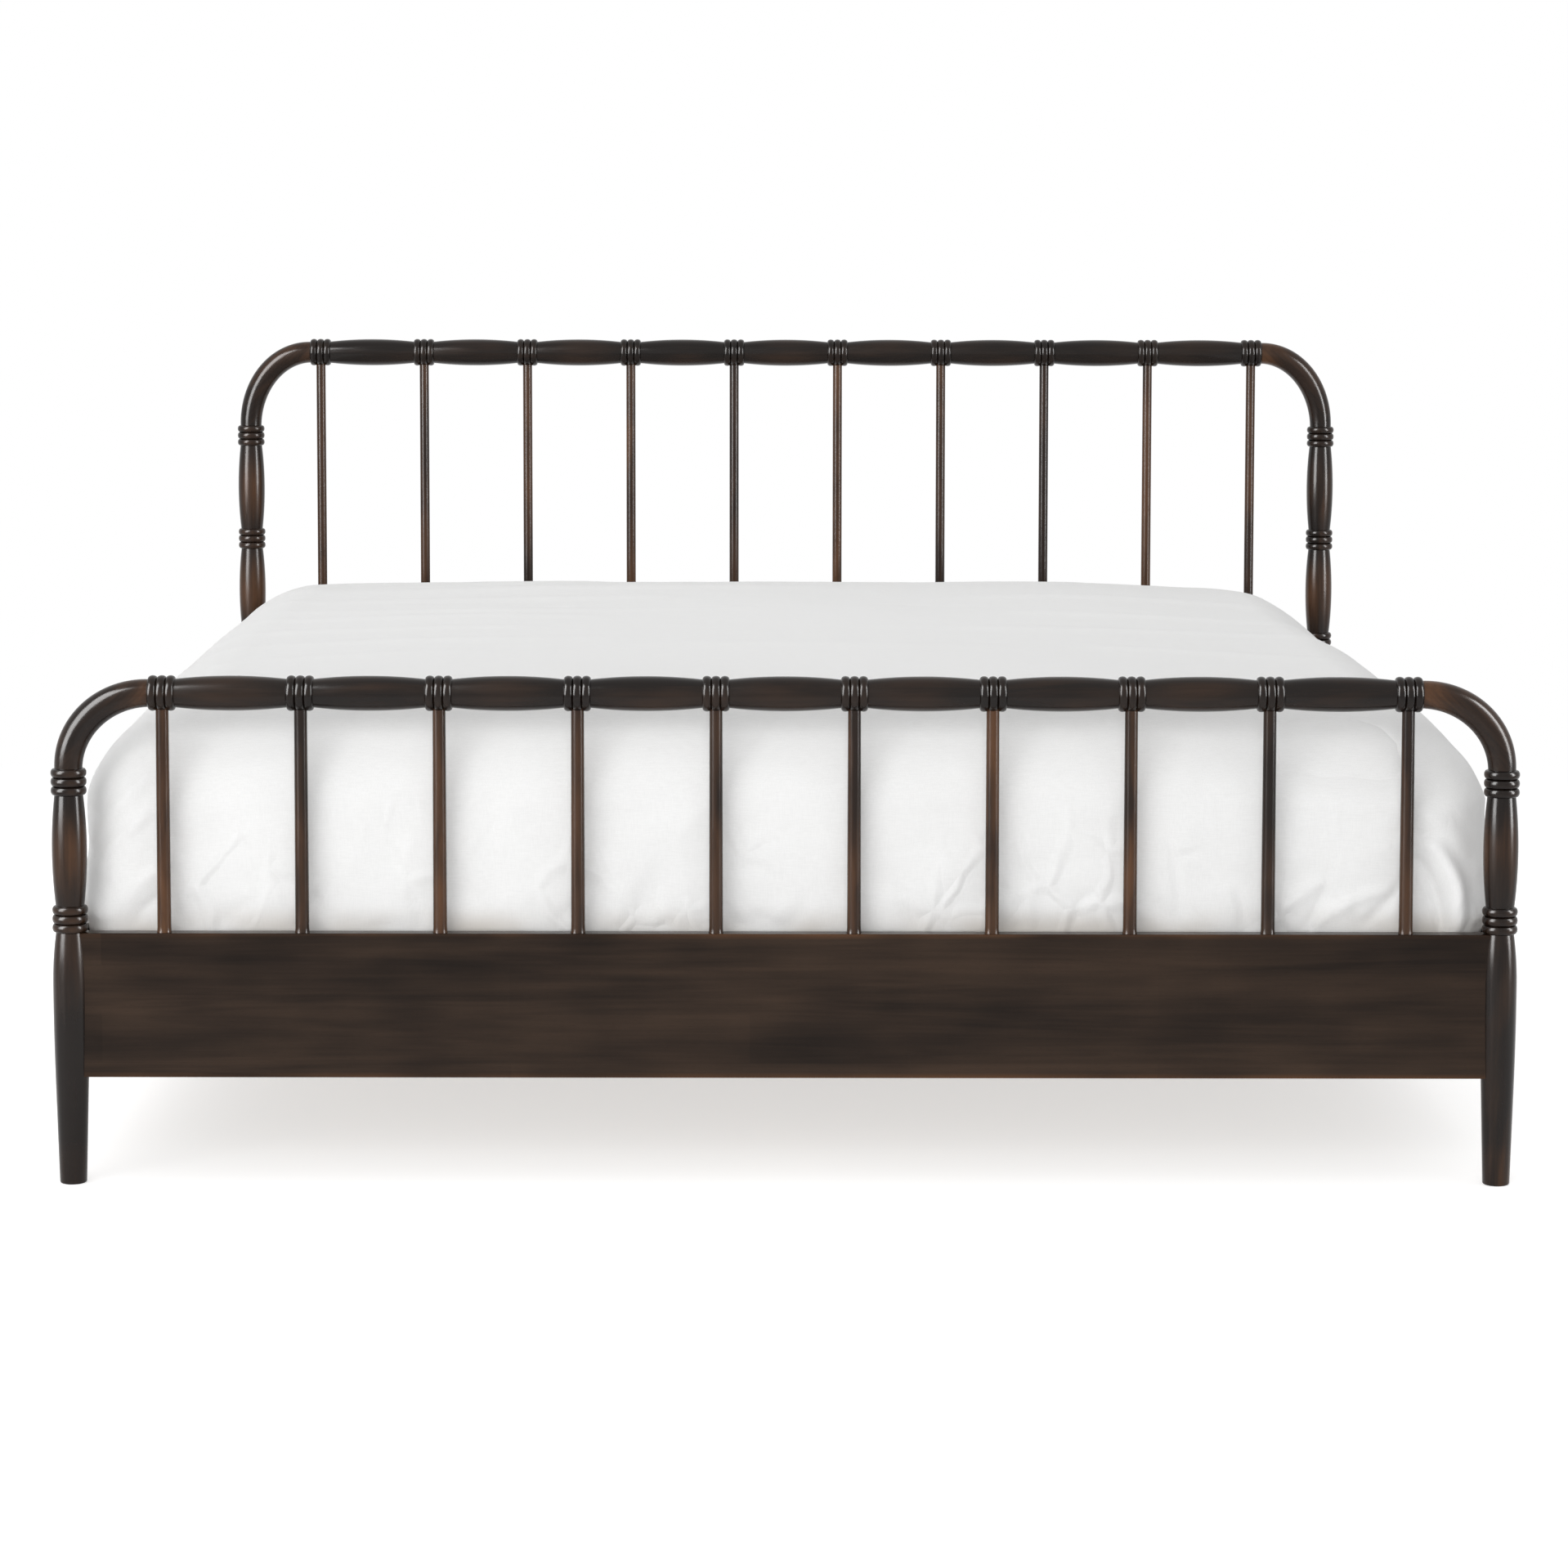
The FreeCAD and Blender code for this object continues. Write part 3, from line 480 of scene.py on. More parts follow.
def barrelProfile(start, end):
    # one low arc from waist to waist
    share = np.linspace(0, 1, turning["barrelSteps"] + 1)[1:-1]
    swell = 1 - (2 * share - 1) ** 2
    radii = turning["waistRadius"] + (turning["barrelRadius"] - turning["waistRadius"]) * swell
    plainWear, crestWear = turning["barrelWear"]
    return radii, start + (end - start) * share, plainWear + crestWear * swell ** 2


def moduleProfile(start, collars):
    # collars with a barrel between each pair
    parts = []
    for collar in range(collars):
        edge = start + collar * turning["modulePitch"]
        parts.append(collarProfile(edge))
        if collar < collars - 1:
            parts.append(barrelProfile(edge + collarLength, edge + turning["modulePitch"]))
    return [np.concatenate(values) for values in zip(*parts)]


postPlace = (1.026, 1.040)       # the posts' axes, metres from the middle
leg = {"footRadius": 0.0195, "footRound": 0.003, "taperRadius": 0.02375, "taperHeight": 0.150,
       "bulgeRadius": 0.0257, "bulgeHeight": 0.290, "footSteps": 5, "coneSteps": 7, "steps": 18,
       "wear": 0.12, "scuff": 0.18, "scuffedBelow": 0.06}


def legProfile(top):
    # a rounded foot, a cone, then two parabolas that meet at the bulge
    bend = np.linspace(0, math.pi / 2, leg["footSteps"] + 1)
    footRadii = leg["footRadius"] - leg["footRound"] * (1 - np.sin(bend))
    footHeights = leg["footRound"] * (1 - np.cos(bend))
    cone = np.linspace(0, 1, leg["coneSteps"] + 1)[1:]
    coneRadii = leg["footRadius"] + (leg["taperRadius"] - leg["footRadius"]) * cone
    coneHeights = leg["footRound"] + (leg["taperHeight"] - leg["footRound"]) * cone
    share = np.linspace(0, 1, leg["steps"])[1:]
    lowRadii = leg["bulgeRadius"] - (leg["bulgeRadius"] - leg["taperRadius"]) * (1 - share) ** 2
    lowHeights = leg["taperHeight"] + (leg["bulgeHeight"] - leg["taperHeight"]) * share
    neckRadii = leg["bulgeRadius"] - (leg["bulgeRadius"] - turning["waistRadius"]) * share ** 2
    neckHeights = leg["bulgeHeight"] + (top - leg["bulgeHeight"]) * share
    radii = np.concatenate([footRadii, coneRadii, lowRadii, neckRadii])
    heights = np.concatenate([footHeights, coneHeights, lowHeights, neckHeights])
    return radii, heights, leg["wear"] + leg["scuff"] * (heights < leg["scuffedBelow"])


def middle(node):
    low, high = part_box(node)
    return (low + high) / 2


def makePosts():
    for board in boards:
        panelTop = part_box(f"{board}_panel")[1].z
        for hand in hands:
            node = f"{board}_post_{hand}"
            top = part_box(node)[1].z
            collars = round((top - panelTop - collarLength) / turning["modulePitch"]) + 1
            pairs = zip(legProfile(panelTop), moduleProfile(panelTop, collars))
            radii, heights, wear = (np.concatenate(pair) for pair in pairs)
            foot = (hands[hand] * postPlace[0], boards[board] * postPlace[1], 0)
            seed = 10 * (board == "headboard") + (hand == "left") + 3
            turnedPiece(node, radii, heights, foot, (0, 0, 1), seed, wear)


makePosts()
print("posts turned")


def makeTopRails():
    for board in boards:
        node = f"{board}_top_rail"
        low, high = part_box(node)
        centre = middle(node)
        collars = round((high.x - low.x - collarLength) / turning["modulePitch"]) + 1
        radii, stations, wear = moduleProfile(0, collars)
        turnedPiece(node, radii, stations, (low.x, centre.y, centre.z), (1, 0, 0), 31 + boards[board],
                    turning["railShare"] * wear)


makeTopRails()
print("top rails turned")

elbow = {
    "endRadius": 0.0200, "middleRadius": 0.0214, "steps": 44, "sides": 60,
    "grainTurn": 45,             # degrees from upright
    "wear": 0.10,
    "outsideWear": 0.20,         # more on the outside of the bend
    "crownWear": 0.50,           # and most on top, where it meets the rail
}


def makeCorners():
    # rings along a quarter of an ellipse from the post up and over to the top rail, swelling between;
    # the grain runs straight across the bend
    angle = np.linspace(0, math.pi / 2, elbow["steps"])[:, None]
    turn = np.linspace(0, 2 * math.pi, elbow["sides"], endpoint=False)[None, :]
    for board in boards:
        railZ = middle(f"{board}_top_rail").z
        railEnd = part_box(f"{board}_top_rail")[1].x
        for hand, side in hands.items():
            node = f"{board}_corner_{hand}"
            postX, postY = side * postPlace[0], boards[board] * postPlace[1]
            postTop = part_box(f"{board}_post_{hand}")[1].z
            run, rise = postPlace[0] - railEnd, railZ - postTop
            centreX = postX - side * run * (1 - np.cos(angle))
            centreZ = postTop + rise * np.sin(angle)
            tangentX, tangentZ = -side * run * np.sin(angle), rise * np.cos(angle)
            size = np.hypot(tangentX, tangentZ)
            normalX, normalZ = tangentZ / size, -tangentX / size
            radius = elbow["endRadius"] + (elbow["middleRadius"] - elbow["endRadius"]) * np.sin(2 * angle)
            points = np.stack([centreX + radius * normalX * np.cos(turn),
                               postY + radius * np.sin(turn) + 0 * angle,
                               centreZ + radius * normalZ * np.cos(turn)], axis=-1)
            lean = math.radians(elbow["grainTurn"])
            x, y, z = points[..., 0] - postX, points[..., 1] - postY, points[..., 2] - postTop
            across = x * math.cos(lean) + side * z * math.sin(lean)
            along = -side * x * math.sin(lean) + z * math.cos(lean)
            seed = 50 + side + 4 * (board == "headboard")
            grain = np.stack([across, y, along], axis=-1) + woodOffset(seed)
            outside = 0.5 + 0.5 * np.cos(turn) * side
            wear = (elbow["wear"] + elbow["outsideWear"] * outside * np.sin(2 * angle)
                    + elbow["crownWear"] * np.sin(angle) ** 16)
            closedSurface(f"{node}_turned", points, {"grain": grain, "wear": wear}, "turned", "bed_frame",
                          node)


makeCorners()
print("bent corners turned")

spindle = {
    "footboard": {"base": 0.0100, "tip": 0.00925},
    "headboard": {"base": 0.0090, "tip": 0.00875},
    "count": 10, "sides": 36, "flareSteps": 5, "steps": 13,
    "flare": 0.0007,
    "flareHeight": 0.009,
    "tenonRadius": 0.006,
    "wear": (0.20, 0.85),        # each is rubbed evenly, somewhere between these
}


def makeSpindles():
    # a small flare where each stands on the panel, then a long straight taper
    for board in boards:
        size = spindle[board]
        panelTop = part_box(f"{board}_panel")[1].z
        for number in range(1, spindle["count"] + 1):
            node = f"{board}_spindle_{number:02d}"
            low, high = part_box(node)
            centre = middle(node)
            rise = high.z - panelTop
            flareHeights = np.linspace(0, spindle["flareHeight"], spindle["flareSteps"] + 1)
            share = np.linspace(0, 1, spindle["steps"] + 1)[1:]
            taperHeights = spindle["flareHeight"] + (rise - spindle["flareHeight"]) * share
            body = np.concatenate([flareHeights, taperHeights])
            flare = spindle["flare"] * np.clip(1 - body / spindle["flareHeight"], 0, 1) ** 2
            taper = size["base"] + (size["tip"] - size["base"]) * body / rise
            radii = np.concatenate([[spindle["tenonRadius"]] * 2, taper + flare])
            tone = np.random.default_rng(number + 20 * boards[board] + 40).uniform(*spindle["wear"])
            wear = np.concatenate([[0, 0], tone + 0 * body])
            turnedPiece(node, radii, np.concatenate([[low.z - panelTop, 0], body]),
                        (centre.x, centre.y, panelTop), (0, 0, 1), 100 * boards[board] + number + 200, wear,
                        spindle["sides"])


makeSpindles()
print("spindles turned")

boardShape = {
    "ease": 0.002, "cleatEase": 0.0015,      # radius of the rounded edges
    "arcSteps": 4, "stations": 9,
    "endDraw": 0.9,                          # how much smaller that radius gets at the ends
    "wear": 0.8, "wearReach": 2.2,           # along the edges, over this many radii
}


def easedBoard(node, finish, seed, ease=boardShape["ease"]):
    # a rectangle with rounded corners, carried along the node's longest side; both ends are drawn in by a
    # quarter round of the same radius. Each flat has a point near both its ends to keep the shading even
    low, high = (np.array(corner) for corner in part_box(node))
    size = high - low
    axis = int(size.argmax())
    across = sorted((k for k in range(3) if k != axis), key=lambda k: -size[k])
    half = size[across] / 2
    bend = np.linspace(0, math.pi / 2, boardShape["arcSteps"] + 1)
    into = ease * (1 - np.cos(bend))
    inner = np.linspace(2 * ease, size[axis] - 2 * ease, boardShape["stations"])
    stations = np.concatenate([into, inner, size[axis] - into[::-1]])
    drawnIn = ease * (1 - np.sin(bend))
    insets = np.concatenate([drawnIn, np.zeros(len(inner)), drawnIn[::-1]])[:, None]
    radius = ease - boardShape["endDraw"] * insets
    spread = half - insets - radius                     # from the middle to the corners' centres
    signs = np.array([(1, 1), (-1, 1), (-1, -1), (1, -1)])
    step = np.minimum(3 * ease, half / 2)
    parts = []
    for turn, run in enumerate(((-1, 0), (0, -1), (1, 0), (0, 1))):
        arc = bend + turn * math.pi / 2
        circle = np.stack([np.cos(arc), np.sin(arc)], axis=-1)
        rounded = (signs[turn] * spread)[:, None] + radius[..., None] * circle
        nextStart = signs[(turn + 1) % 4] * spread + radius * circle[-1]
        parts += [rounded, rounded[:, -1:] + run * step, (nextStart - run * step)[:, None]]
    section = np.concatenate(parts, axis=1)
    points = np.zeros((*section.shape[:2], 3))
    centre = (low + high) / 2
    points[..., axis] = (low[axis] + stations)[:, None]
    points[..., across] = centre[across] + section
    if np.linalg.det(np.eye(3)[[*across, axis]]) < 0:
        points, section = points[:, ::-1], section[:, ::-1]        # faces outward
    grain = np.concatenate([section, points[..., axis:axis + 1]], axis=-1)
    if finish != "panel":        # a panel's staves are set out from its middle
        grain = grain + woodOffset(seed)
    edge = (half - np.abs(section)).sum(axis=-1)
    wear = np.clip(1 - edge / (boardShape["wearReach"] * ease), 0, 1) * boardShape["wear"]
    closedSurface(f"{node}_board", points, {"grain": grain, "wear": wear}, finish, "bed_frame", node)


def makeBoards():
    for board in boards:
        easedBoard(f"{board}_panel", "panel", 0)
    for number, hand in enumerate(hands):
        easedBoard(f"side_rail_{hand}", "panel", 0)
        easedBoard(f"slat_cleat_{hand}", "pine", 70 + number, boardShape["cleatEase"])
    for number in range(1, 13):
        easedBoard(f"slat_{number:02d}", "pine", 80 + number)
    easedBoard("center_beam", "pine", 95)
    for number in (1, 2):
        easedBoard(f"center_leg_{number}", "pine", 96 + number)


makeBoards()
print("boards made")

# fittings keep their CAD shape and get a finish
fittings = {
    "beam_hangers": "steel", "hanger_screws": "steel", "rail_hook_plates": "steel",
    "post_receiver_plates": "steel", "leg_glides": "plastic",
}


def finishFittings():
    for node, finish in fittings.items():
        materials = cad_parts[node].data.materials
        materials.clear()
        materials.append(finishes[finish])


finishFittings()
print("fittings finished")


def waves(points, height, wavelength, seed, stretch, count=26):
    # a smooth random field of about -height to height: a sum of cosines in random directions
    rng = np.random.default_rng(seed)
    directions = rng.normal(size=(3, count))
    directions /= np.linalg.norm(directions, axis=0)
    pitch = 2 * math.pi / (wavelength * rng.uniform(0.7, 1.5, count))
    phase = rng.uniform(0, 2 * math.pi, count)
    flat = points.reshape(-1, 3) / np.array(stretch)
    field = np.cos(flat @ (directions * pitch) + phase).sum(axis=1) * math.sqrt(2 / count)
    return height * field.reshape(points.shape[:-1])


def eased(value, low, high):
    # 0 below low, 1 above high, smooth between
    share = np.clip((value - low) / (high - low), 0, 1)
    return share * share * (3 - 2 * share)


def gridNormals(points):
    # unit normals of a closed ring grid, from the differences along and round it
    around = np.roll(points, -1, axis=1) - np.roll(points, 1, axis=1)
    up = np.gradient(points, axis=0)
    normal = np.cross(around, up)
    return normal / np.maximum(np.linalg.norm(normal, axis=-1, keepdims=True), 1e-9)


def roundedRings(halfX, halfY, radius, height, sideSteps, arcSteps):
    # one ring per row: a rectangle of half sizes halfX and halfY whose corners are arcs, counter-clockwise
    # from the right side; every ring keeps the same share of points on its four sides and its corners
    halfX, halfY, radius, height = (np.asarray(value, float)[:, None] for value in
                                    (halfX, halfY, radius, height))
    bend = np.linspace(0, math.pi / 2, arcSteps + 1)[None, 1:]
    parts = []
    for cornerX, cornerY, heading in ((1, 1, 0), (-1, 1, 1), (-1, -1, 2), (1, -1, 3)):
        upX, upY = ((0, 1), (-1, 0), (0, -1), (1, 0))[heading]
        along = np.linspace(-1, 1, sideSteps[heading] + 1)[None, 1:]
        reach = (halfY - radius) if upX == 0 else (halfX - radius)
        sideX = np.where(upX == 0, cornerX * halfX, upX * along * reach)
        sideY = np.where(upX == 0, upY * along * reach, cornerY * halfY)
        turn = bend + heading * math.pi / 2
        arcX = cornerX * (halfX - radius) + radius * np.cos(turn)
        arcY = cornerY * (halfY - radius) + radius * np.sin(turn)
        parts += [np.stack(np.broadcast_arrays(sideX, sideY), -1), np.stack([arcX, arcY], -1)]
    flat = np.concatenate(parts, axis=1)
    return np.concatenate([flat, np.broadcast_to(height[..., None], (*flat.shape[:2], 1))], axis=-1)


def fold(across, up, start, end, width, height, bow=0.0):
    # a ridge (or a crease, where height is below 0) from start to end that tapers at both ends:
    # height * exp(-(distance / width)^2), bent sideways by bow at its middle
    start, end = np.array(start), np.array(end)
    run = np.hypot(*(end - start))
    along = (end - start) / run
    x, y = across - start[0], up - start[1]
    share = (x * along[0] + y * along[1]) / run
    distance = -x * along[1] + y * along[0] - bow * 4 * share * (1 - share)
    inside = np.clip(share, 0, 1)
    return height * np.sqrt(np.sin(math.pi * inside)) * np.exp(-(distance / width) ** 2)


duvet = {
    "sideSteps": (140, 130, 140, 300), "arcSteps": 22,
    "sideRings": 36, "rollRings": 28, "topRings": 64, "liningRings": 10, "hemRings": 5,
    "corner": 0.090, "hemCorner": 0.045,
    "cornerOpens": (0.03, 0.16),    # heights over the hem between which the corners' radius grows
    "liningOpens": 0.09,       # height over the hem from which the lining widens to it
    "roll": 0.165,             # radius of the soft top edge
    "hem": 0.010,              # thickness of cloth and filling at the hem
    "loft": 0.031,             # the same on top
    "sideFill": 0.042,         # filling between the cover's side and the mattress
    "snug": 0.003,             # how far the sides fill out against the rails
    "bulge": 0.009,            # how far the sides swell over the rails
    "overRail": (0.3655, 0.385),    # heights between which that starts
    # extra filling in the shoulders and on the outer top, from the foot end to the head end
    "shoulderSpan": (0.5, 0.8), "sagSpan": (0.35, 1.0),      # metres from the middle where they grow
    "stations": (-1.0, -0.8, -0.4, 0.1, 0.6, 1.0),
    "shoulders": {"left": (-0.004, -0.006, 0.007, 0.010, 0.015, 0.017),
                  "right": (-0.022, -0.014, -0.007, -0.011, -0.010, -0.010)},
    "sags": {"left": (-0.013, -0.013, 0.000, -0.001, -0.004, -0.010),
             "right": (-0.006, -0.004, -0.005, -0.013, -0.015, -0.018)},
    # uneven filling: height, wavelength, seed, stretch across, along and up
    "waves": {"broad": (0.0020, 0.62, 11, (1, 1, 1)), "front": (0.0016, 0.26, 13, (1, 1, 2)),
              "rumple": (0.0008, 0.07, 14, (1.5, 1.5, 0.8))},
    "pillow": (0.005, 0.68, 0.20),           # a low swelling across the bed: height, place, width
    "frontGain": 1.5,                        # the front folds' heights are multiplied by this
    "fill": 0.4,
}

topFolds = [
    # long soft ridges on the top: start, end (metres from the middle), width, height, bow
    ((-0.96, 0.62), (0.10, 0.70), 0.045, 0.0050, 0.02), ((-0.97, 0.40), (-0.20, 0.52), 0.034, 0.0048, 0.02),
    ((-0.97, 0.22), (-0.05, 0.30), 0.030, 0.0042, -0.02), ((-0.96, 0.02), (-0.30, 0.16), 0.034, 0.0046, 0.02),
    ((-0.96, -0.18), (-0.40, -0.02), 0.030, 0.0040, 0.01),
    ((-0.95, -0.40), (-0.25, -0.20), 0.036, 0.0044, 0.03),
    ((-0.95, -0.62), (-0.45, -0.40), 0.032, 0.0038, 0.02), ((0.95, 0.48), (0.25, 0.56), 0.040, 0.0046, -0.02),
    ((0.96, 0.16), (0.35, 0.26), 0.034, 0.0040, 0.02), ((0.95, -0.16), (0.20, -0.02), 0.040, 0.0042, -0.02),
    ((0.93, -0.52), (0.45, -0.34), 0.034, 0.0036, 0.01), ((-0.30, -0.30), (0.45, -0.42), 0.050, 0.0034, 0.03),
    ((-0.47, 0.34), (-0.37, 0.335), 0.009, -0.0045, 0.004),
    ((-0.20, 0.30), (-0.10, 0.31), 0.009, -0.0045, 0.004),
    ((0.16, 0.40), (0.34, 0.37), 0.012, -0.0030, 0.006), ((-0.80, 0.74), (-0.35, 0.79), 0.020, -0.0035, 0.01),
]
frontFolds = [
    # on the foot side: start, end as (across, height), width, height, bow
    ((-0.995, 0.480), (-0.900, 0.600), 0.011, 0.0042, 0.01),
    ((-0.990, 0.440), (-0.905, 0.540), 0.009, 0.0034, 0.01),
    ((-0.985, 0.530), (-0.930, 0.640), 0.012, 0.0034, 0.01),
    ((-0.960, 0.395), (-0.860, 0.470), 0.012, 0.0030, 0.01),
    ((-0.935, 0.372), (-0.890, 0.420), 0.008, -0.0030, 0.005),
    ((-0.700, 0.366), (-0.660, 0.430), 0.008, -0.0024, 0.004),
    ((-0.520, 0.366), (-0.545, 0.415), 0.007, -0.0022, -0.004),
    ((-0.300, 0.366), (-0.270, 0.440), 0.009, -0.0024, 0.006),
    ((-0.060, 0.366), (-0.090, 0.405), 0.007, -0.0020, 0.003),
    ((0.190, 0.366), (0.160, 0.430), 0.009, -0.0024, -0.004),
    ((0.410, 0.366), (0.440, 0.420), 0.008, -0.0022, 0.004),
    ((0.546, 0.512), (0.569, 0.383), 0.006, -0.0026, 0.006),
    ((0.561, 0.468), (0.600, 0.474), 0.005, -0.0022, 0.003),
    ((0.649, 0.428), (0.662, 0.368), 0.006, -0.0028, 0.004),
    ((0.700, 0.372), (0.790, 0.440), 0.010, 0.0030, 0.010),
    ((0.760, 0.366), (0.880, 0.425), 0.009, 0.0036, 0.012),
    ((0.828, 0.372), (0.905, 0.470), 0.008, -0.0036, -0.012),
    ((0.925, 0.500), (0.966, 0.350), 0.012, 0.0110, 0.016),
    ((0.906, 0.475), (0.944, 0.350), 0.006, -0.0075, 0.013),
    ((0.870, 0.560), (0.985, 0.470), 0.016, 0.0034, 0.010),
    ((0.880, 0.640), (0.975, 0.600), 0.018, 0.0036, 0.010),
    ((0.600, 0.560), (0.760, 0.600), 0.016, 0.0020, 0.010),
]
pulls = {
    # short pulls from the hem on the other three sides, and finer ones on the foot side
    "seed": 21, "hem": 0.352, "outward": 0.9,
    "sides": {"count": 46, "place": (-0.93, 0.93), "lean": (-0.05, 0.05), "tall": (0.05, 0.17),
              "deep": (-0.0032, 0.0040), "width": (0.008, 0.014), "bow": (-0.01, 0.01)},
    "front": {"count": 44, "place": (-0.95, 0.95), "lean": (-0.10, 0.10), "tall": (0.03, 0.10), "rise": 0.010,
              "deep": (-0.0032, 0.0026), "width": (0.007, 0.011), "bow": (-0.012, 0.012)},
}


def coverRings():
    # lining from its middle down to the hem, round the hem, then up the side, over the roll and to the middle
    low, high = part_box("duvet")
    roll, hem, corner = duvet["roll"], duvet["hem"], duvet["corner"]
    base, top = low.z, high.z
    innerRoll = roll - duvet["loft"]
    innerTop = top - duvet["loft"]
    bend = np.linspace(0, math.pi / 2, duvet["rollRings"] + 1)
    innerBend = bend[::-4]
    lower = np.linspace(innerTop - innerRoll, base + hem / 2, duvet["liningRings"])[1:]
    hemTurn = np.linspace(0, math.pi, duvet["hemRings"] + 2)[1:-1]
    side = np.linspace(base + hem / 2, top - roll, duvet["sideRings"])
    flat = np.linspace(0, 1, duvet["topRings"] + 1)[1:]

    def half(full, fill):
        # half size of every ring, from the lining's middle to the top's middle
        inner = full - fill
        opening = eased(lower, base, base + duvet["liningOpens"])
        return np.concatenate([
            inner - innerRoll - (inner - innerRoll) * np.array([0.995, 0.6, 0.25]),
            inner - innerRoll * (1 - np.cos(innerBend)),
            (full - hem) * (1 - opening) + inner * opening,
            full - hem / 2 - hem / 2 * np.cos(hemTurn),
            np.full(len(side), full),
            full - roll * (1 - np.cos(bend[1:])),
            (full - roll) * (1 - 0.997 * flat),
        ])

    height = np.concatenate([
        np.full(3, innerTop),
        innerTop - innerRoll * (1 - np.sin(innerBend)),
        lower,
        base + hem / 2 - hem / 2 * np.sin(hemTurn),
        side,
        top - roll * (1 - np.sin(bend[1:])),
        np.full(len(flat), top),
    ])
    halfX, halfY = half(high.x, duvet["sideFill"]), half(high.y, hem)
    lesser = np.minimum(halfX, halfY)
    opens = eased(height, *(base + rise for rise in duvet["cornerOpens"]))
    radius = duvet["hemCorner"] + (corner - duvet["hemCorner"]) * opens
    share = corner / (high.x - roll)
    radius[-len(flat):] = lesser[-len(flat):] * (share + (0.9 - share) * flat)
    radius[:3] = lesser[:3] * np.array([0.9, 0.5, 0.25])
    outside = len(height) - len(flat) - len(bend[1:]) - len(side)
    return halfX, halfY, radius, height, outside


def coverPoints():
    # the cover's surface: smooth rings, then every form added along the surface's normal
    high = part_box("duvet")[1]
    halfX, halfY, radius, height, outside = coverRings()
    points = roundedRings(halfX, halfY, radius, height, duvet["sideSteps"], duvet["arcSteps"])
    normal = gridNormals(points)
    x, y, z = np.moveaxis(points, -1, 0)
    ring = np.arange(len(height))[:, None]
    free = eased(ring, outside, outside + 5) * np.ones_like(x)        # lining and hem stay plain
    topness = eased(z, high.z - duvet["roll"], high.z - 0.01)
    sideness = 1 - topness
    lift = (duvet["snug"] + duvet["bulge"] * eased(z, *duvet["overRail"])) * sideness * np.abs(normal[..., 0])
    # sine and cosine of the roll's angle: a fuller shoulder stands out most at 45 degrees
    rollSine = np.clip((z - high.z + duvet["roll"]) / duvet["roll"], 0, 1)
    shoulder = 2 * rollSine * np.sqrt(1 - rollSine ** 2) * eased(np.abs(x), *duvet["shoulderSpan"])
    sag = topness * eased(np.abs(x), *duvet["sagSpan"])
    for hand, side in hands.items():
        here = x * side > 0
        lift += here * shoulder * np.interp(y, duvet["stations"], duvet["shoulders"][hand])
        lift += here * sag * np.interp(y, duvet["stations"], duvet["sags"][hand])
    pillowHeight, pillowY, pillowWidth = duvet["pillow"]
    lift += waves(points, *duvet["waves"]["broad"]) * (0.2 + 0.8 * topness)
    lift += pillowHeight * np.exp(-((y - pillowY) / pillowWidth) ** 2) * topness
    lift += waves(points, *duvet["waves"]["front"]) * sideness
    lift += waves(points, *duvet["waves"]["rumple"]) * (0.25 + 0.75 * sideness)
    for place in topFolds:
        lift += fold(x, y, *place) * topness
    front = (y < -(high.y - duvet["roll"])) * sideness
    for place in frontFolds:
        lift += duvet["frontGain"] * fold(x, z, *place) * front
    rng = np.random.default_rng(pulls["seed"])
    hem = pulls["hem"]
    sidePulls = pulls["sides"]
    for _ in range(sidePulls["count"]):
        place, lean, tall = (rng.uniform(*sidePulls[key]) for key in ("place", "lean", "tall"))
        which, deep = rng.integers(0, 3), rng.uniform(*sidePulls["deep"])
        face = ((x > pulls["outward"]), (x < -pulls["outward"]), (y > pulls["outward"]))[which] * sideness
        run = y if which < 2 else x
        lift += fold(run, z, (place, hem), (place + lean, hem + tall), rng.uniform(*sidePulls["width"]), deep,
                     rng.uniform(*sidePulls["bow"])) * face
    fine = pulls["front"]
    for _ in range(fine["count"]):
        place, lean, tall = (rng.uniform(*fine[key]) for key in ("place", "lean", "tall"))
        tip = (place + lean, hem + fine["rise"] + tall)
        width, deep, bow = (rng.uniform(*fine[key]) for key in ("width", "deep", "bow"))
        lift += fold(x, z, (place, hem), tip, width, deep, bow) * front
    return points + normal * (lift * free)[..., None]


def makeDuvet():
    piece = closedSurface("duvet_cover", coverPoints(), {}, "cotton", "bedding", "duvet",
                          sharpAngle=180)


makeDuvet()
print("duvet made")

mattress = {
    "corner": 0.090,
    "roll": 0.130,               # radius of the top edge
    "foot": 0.030,               # and of the lower one
    "tapeWidth": 0.009,
    "tapeRise": 0.004,
    "sideSteps": 40, "arcSteps": 10, "rollSteps": 12, "sideRings": 28,
    "fill": 0.95,
}


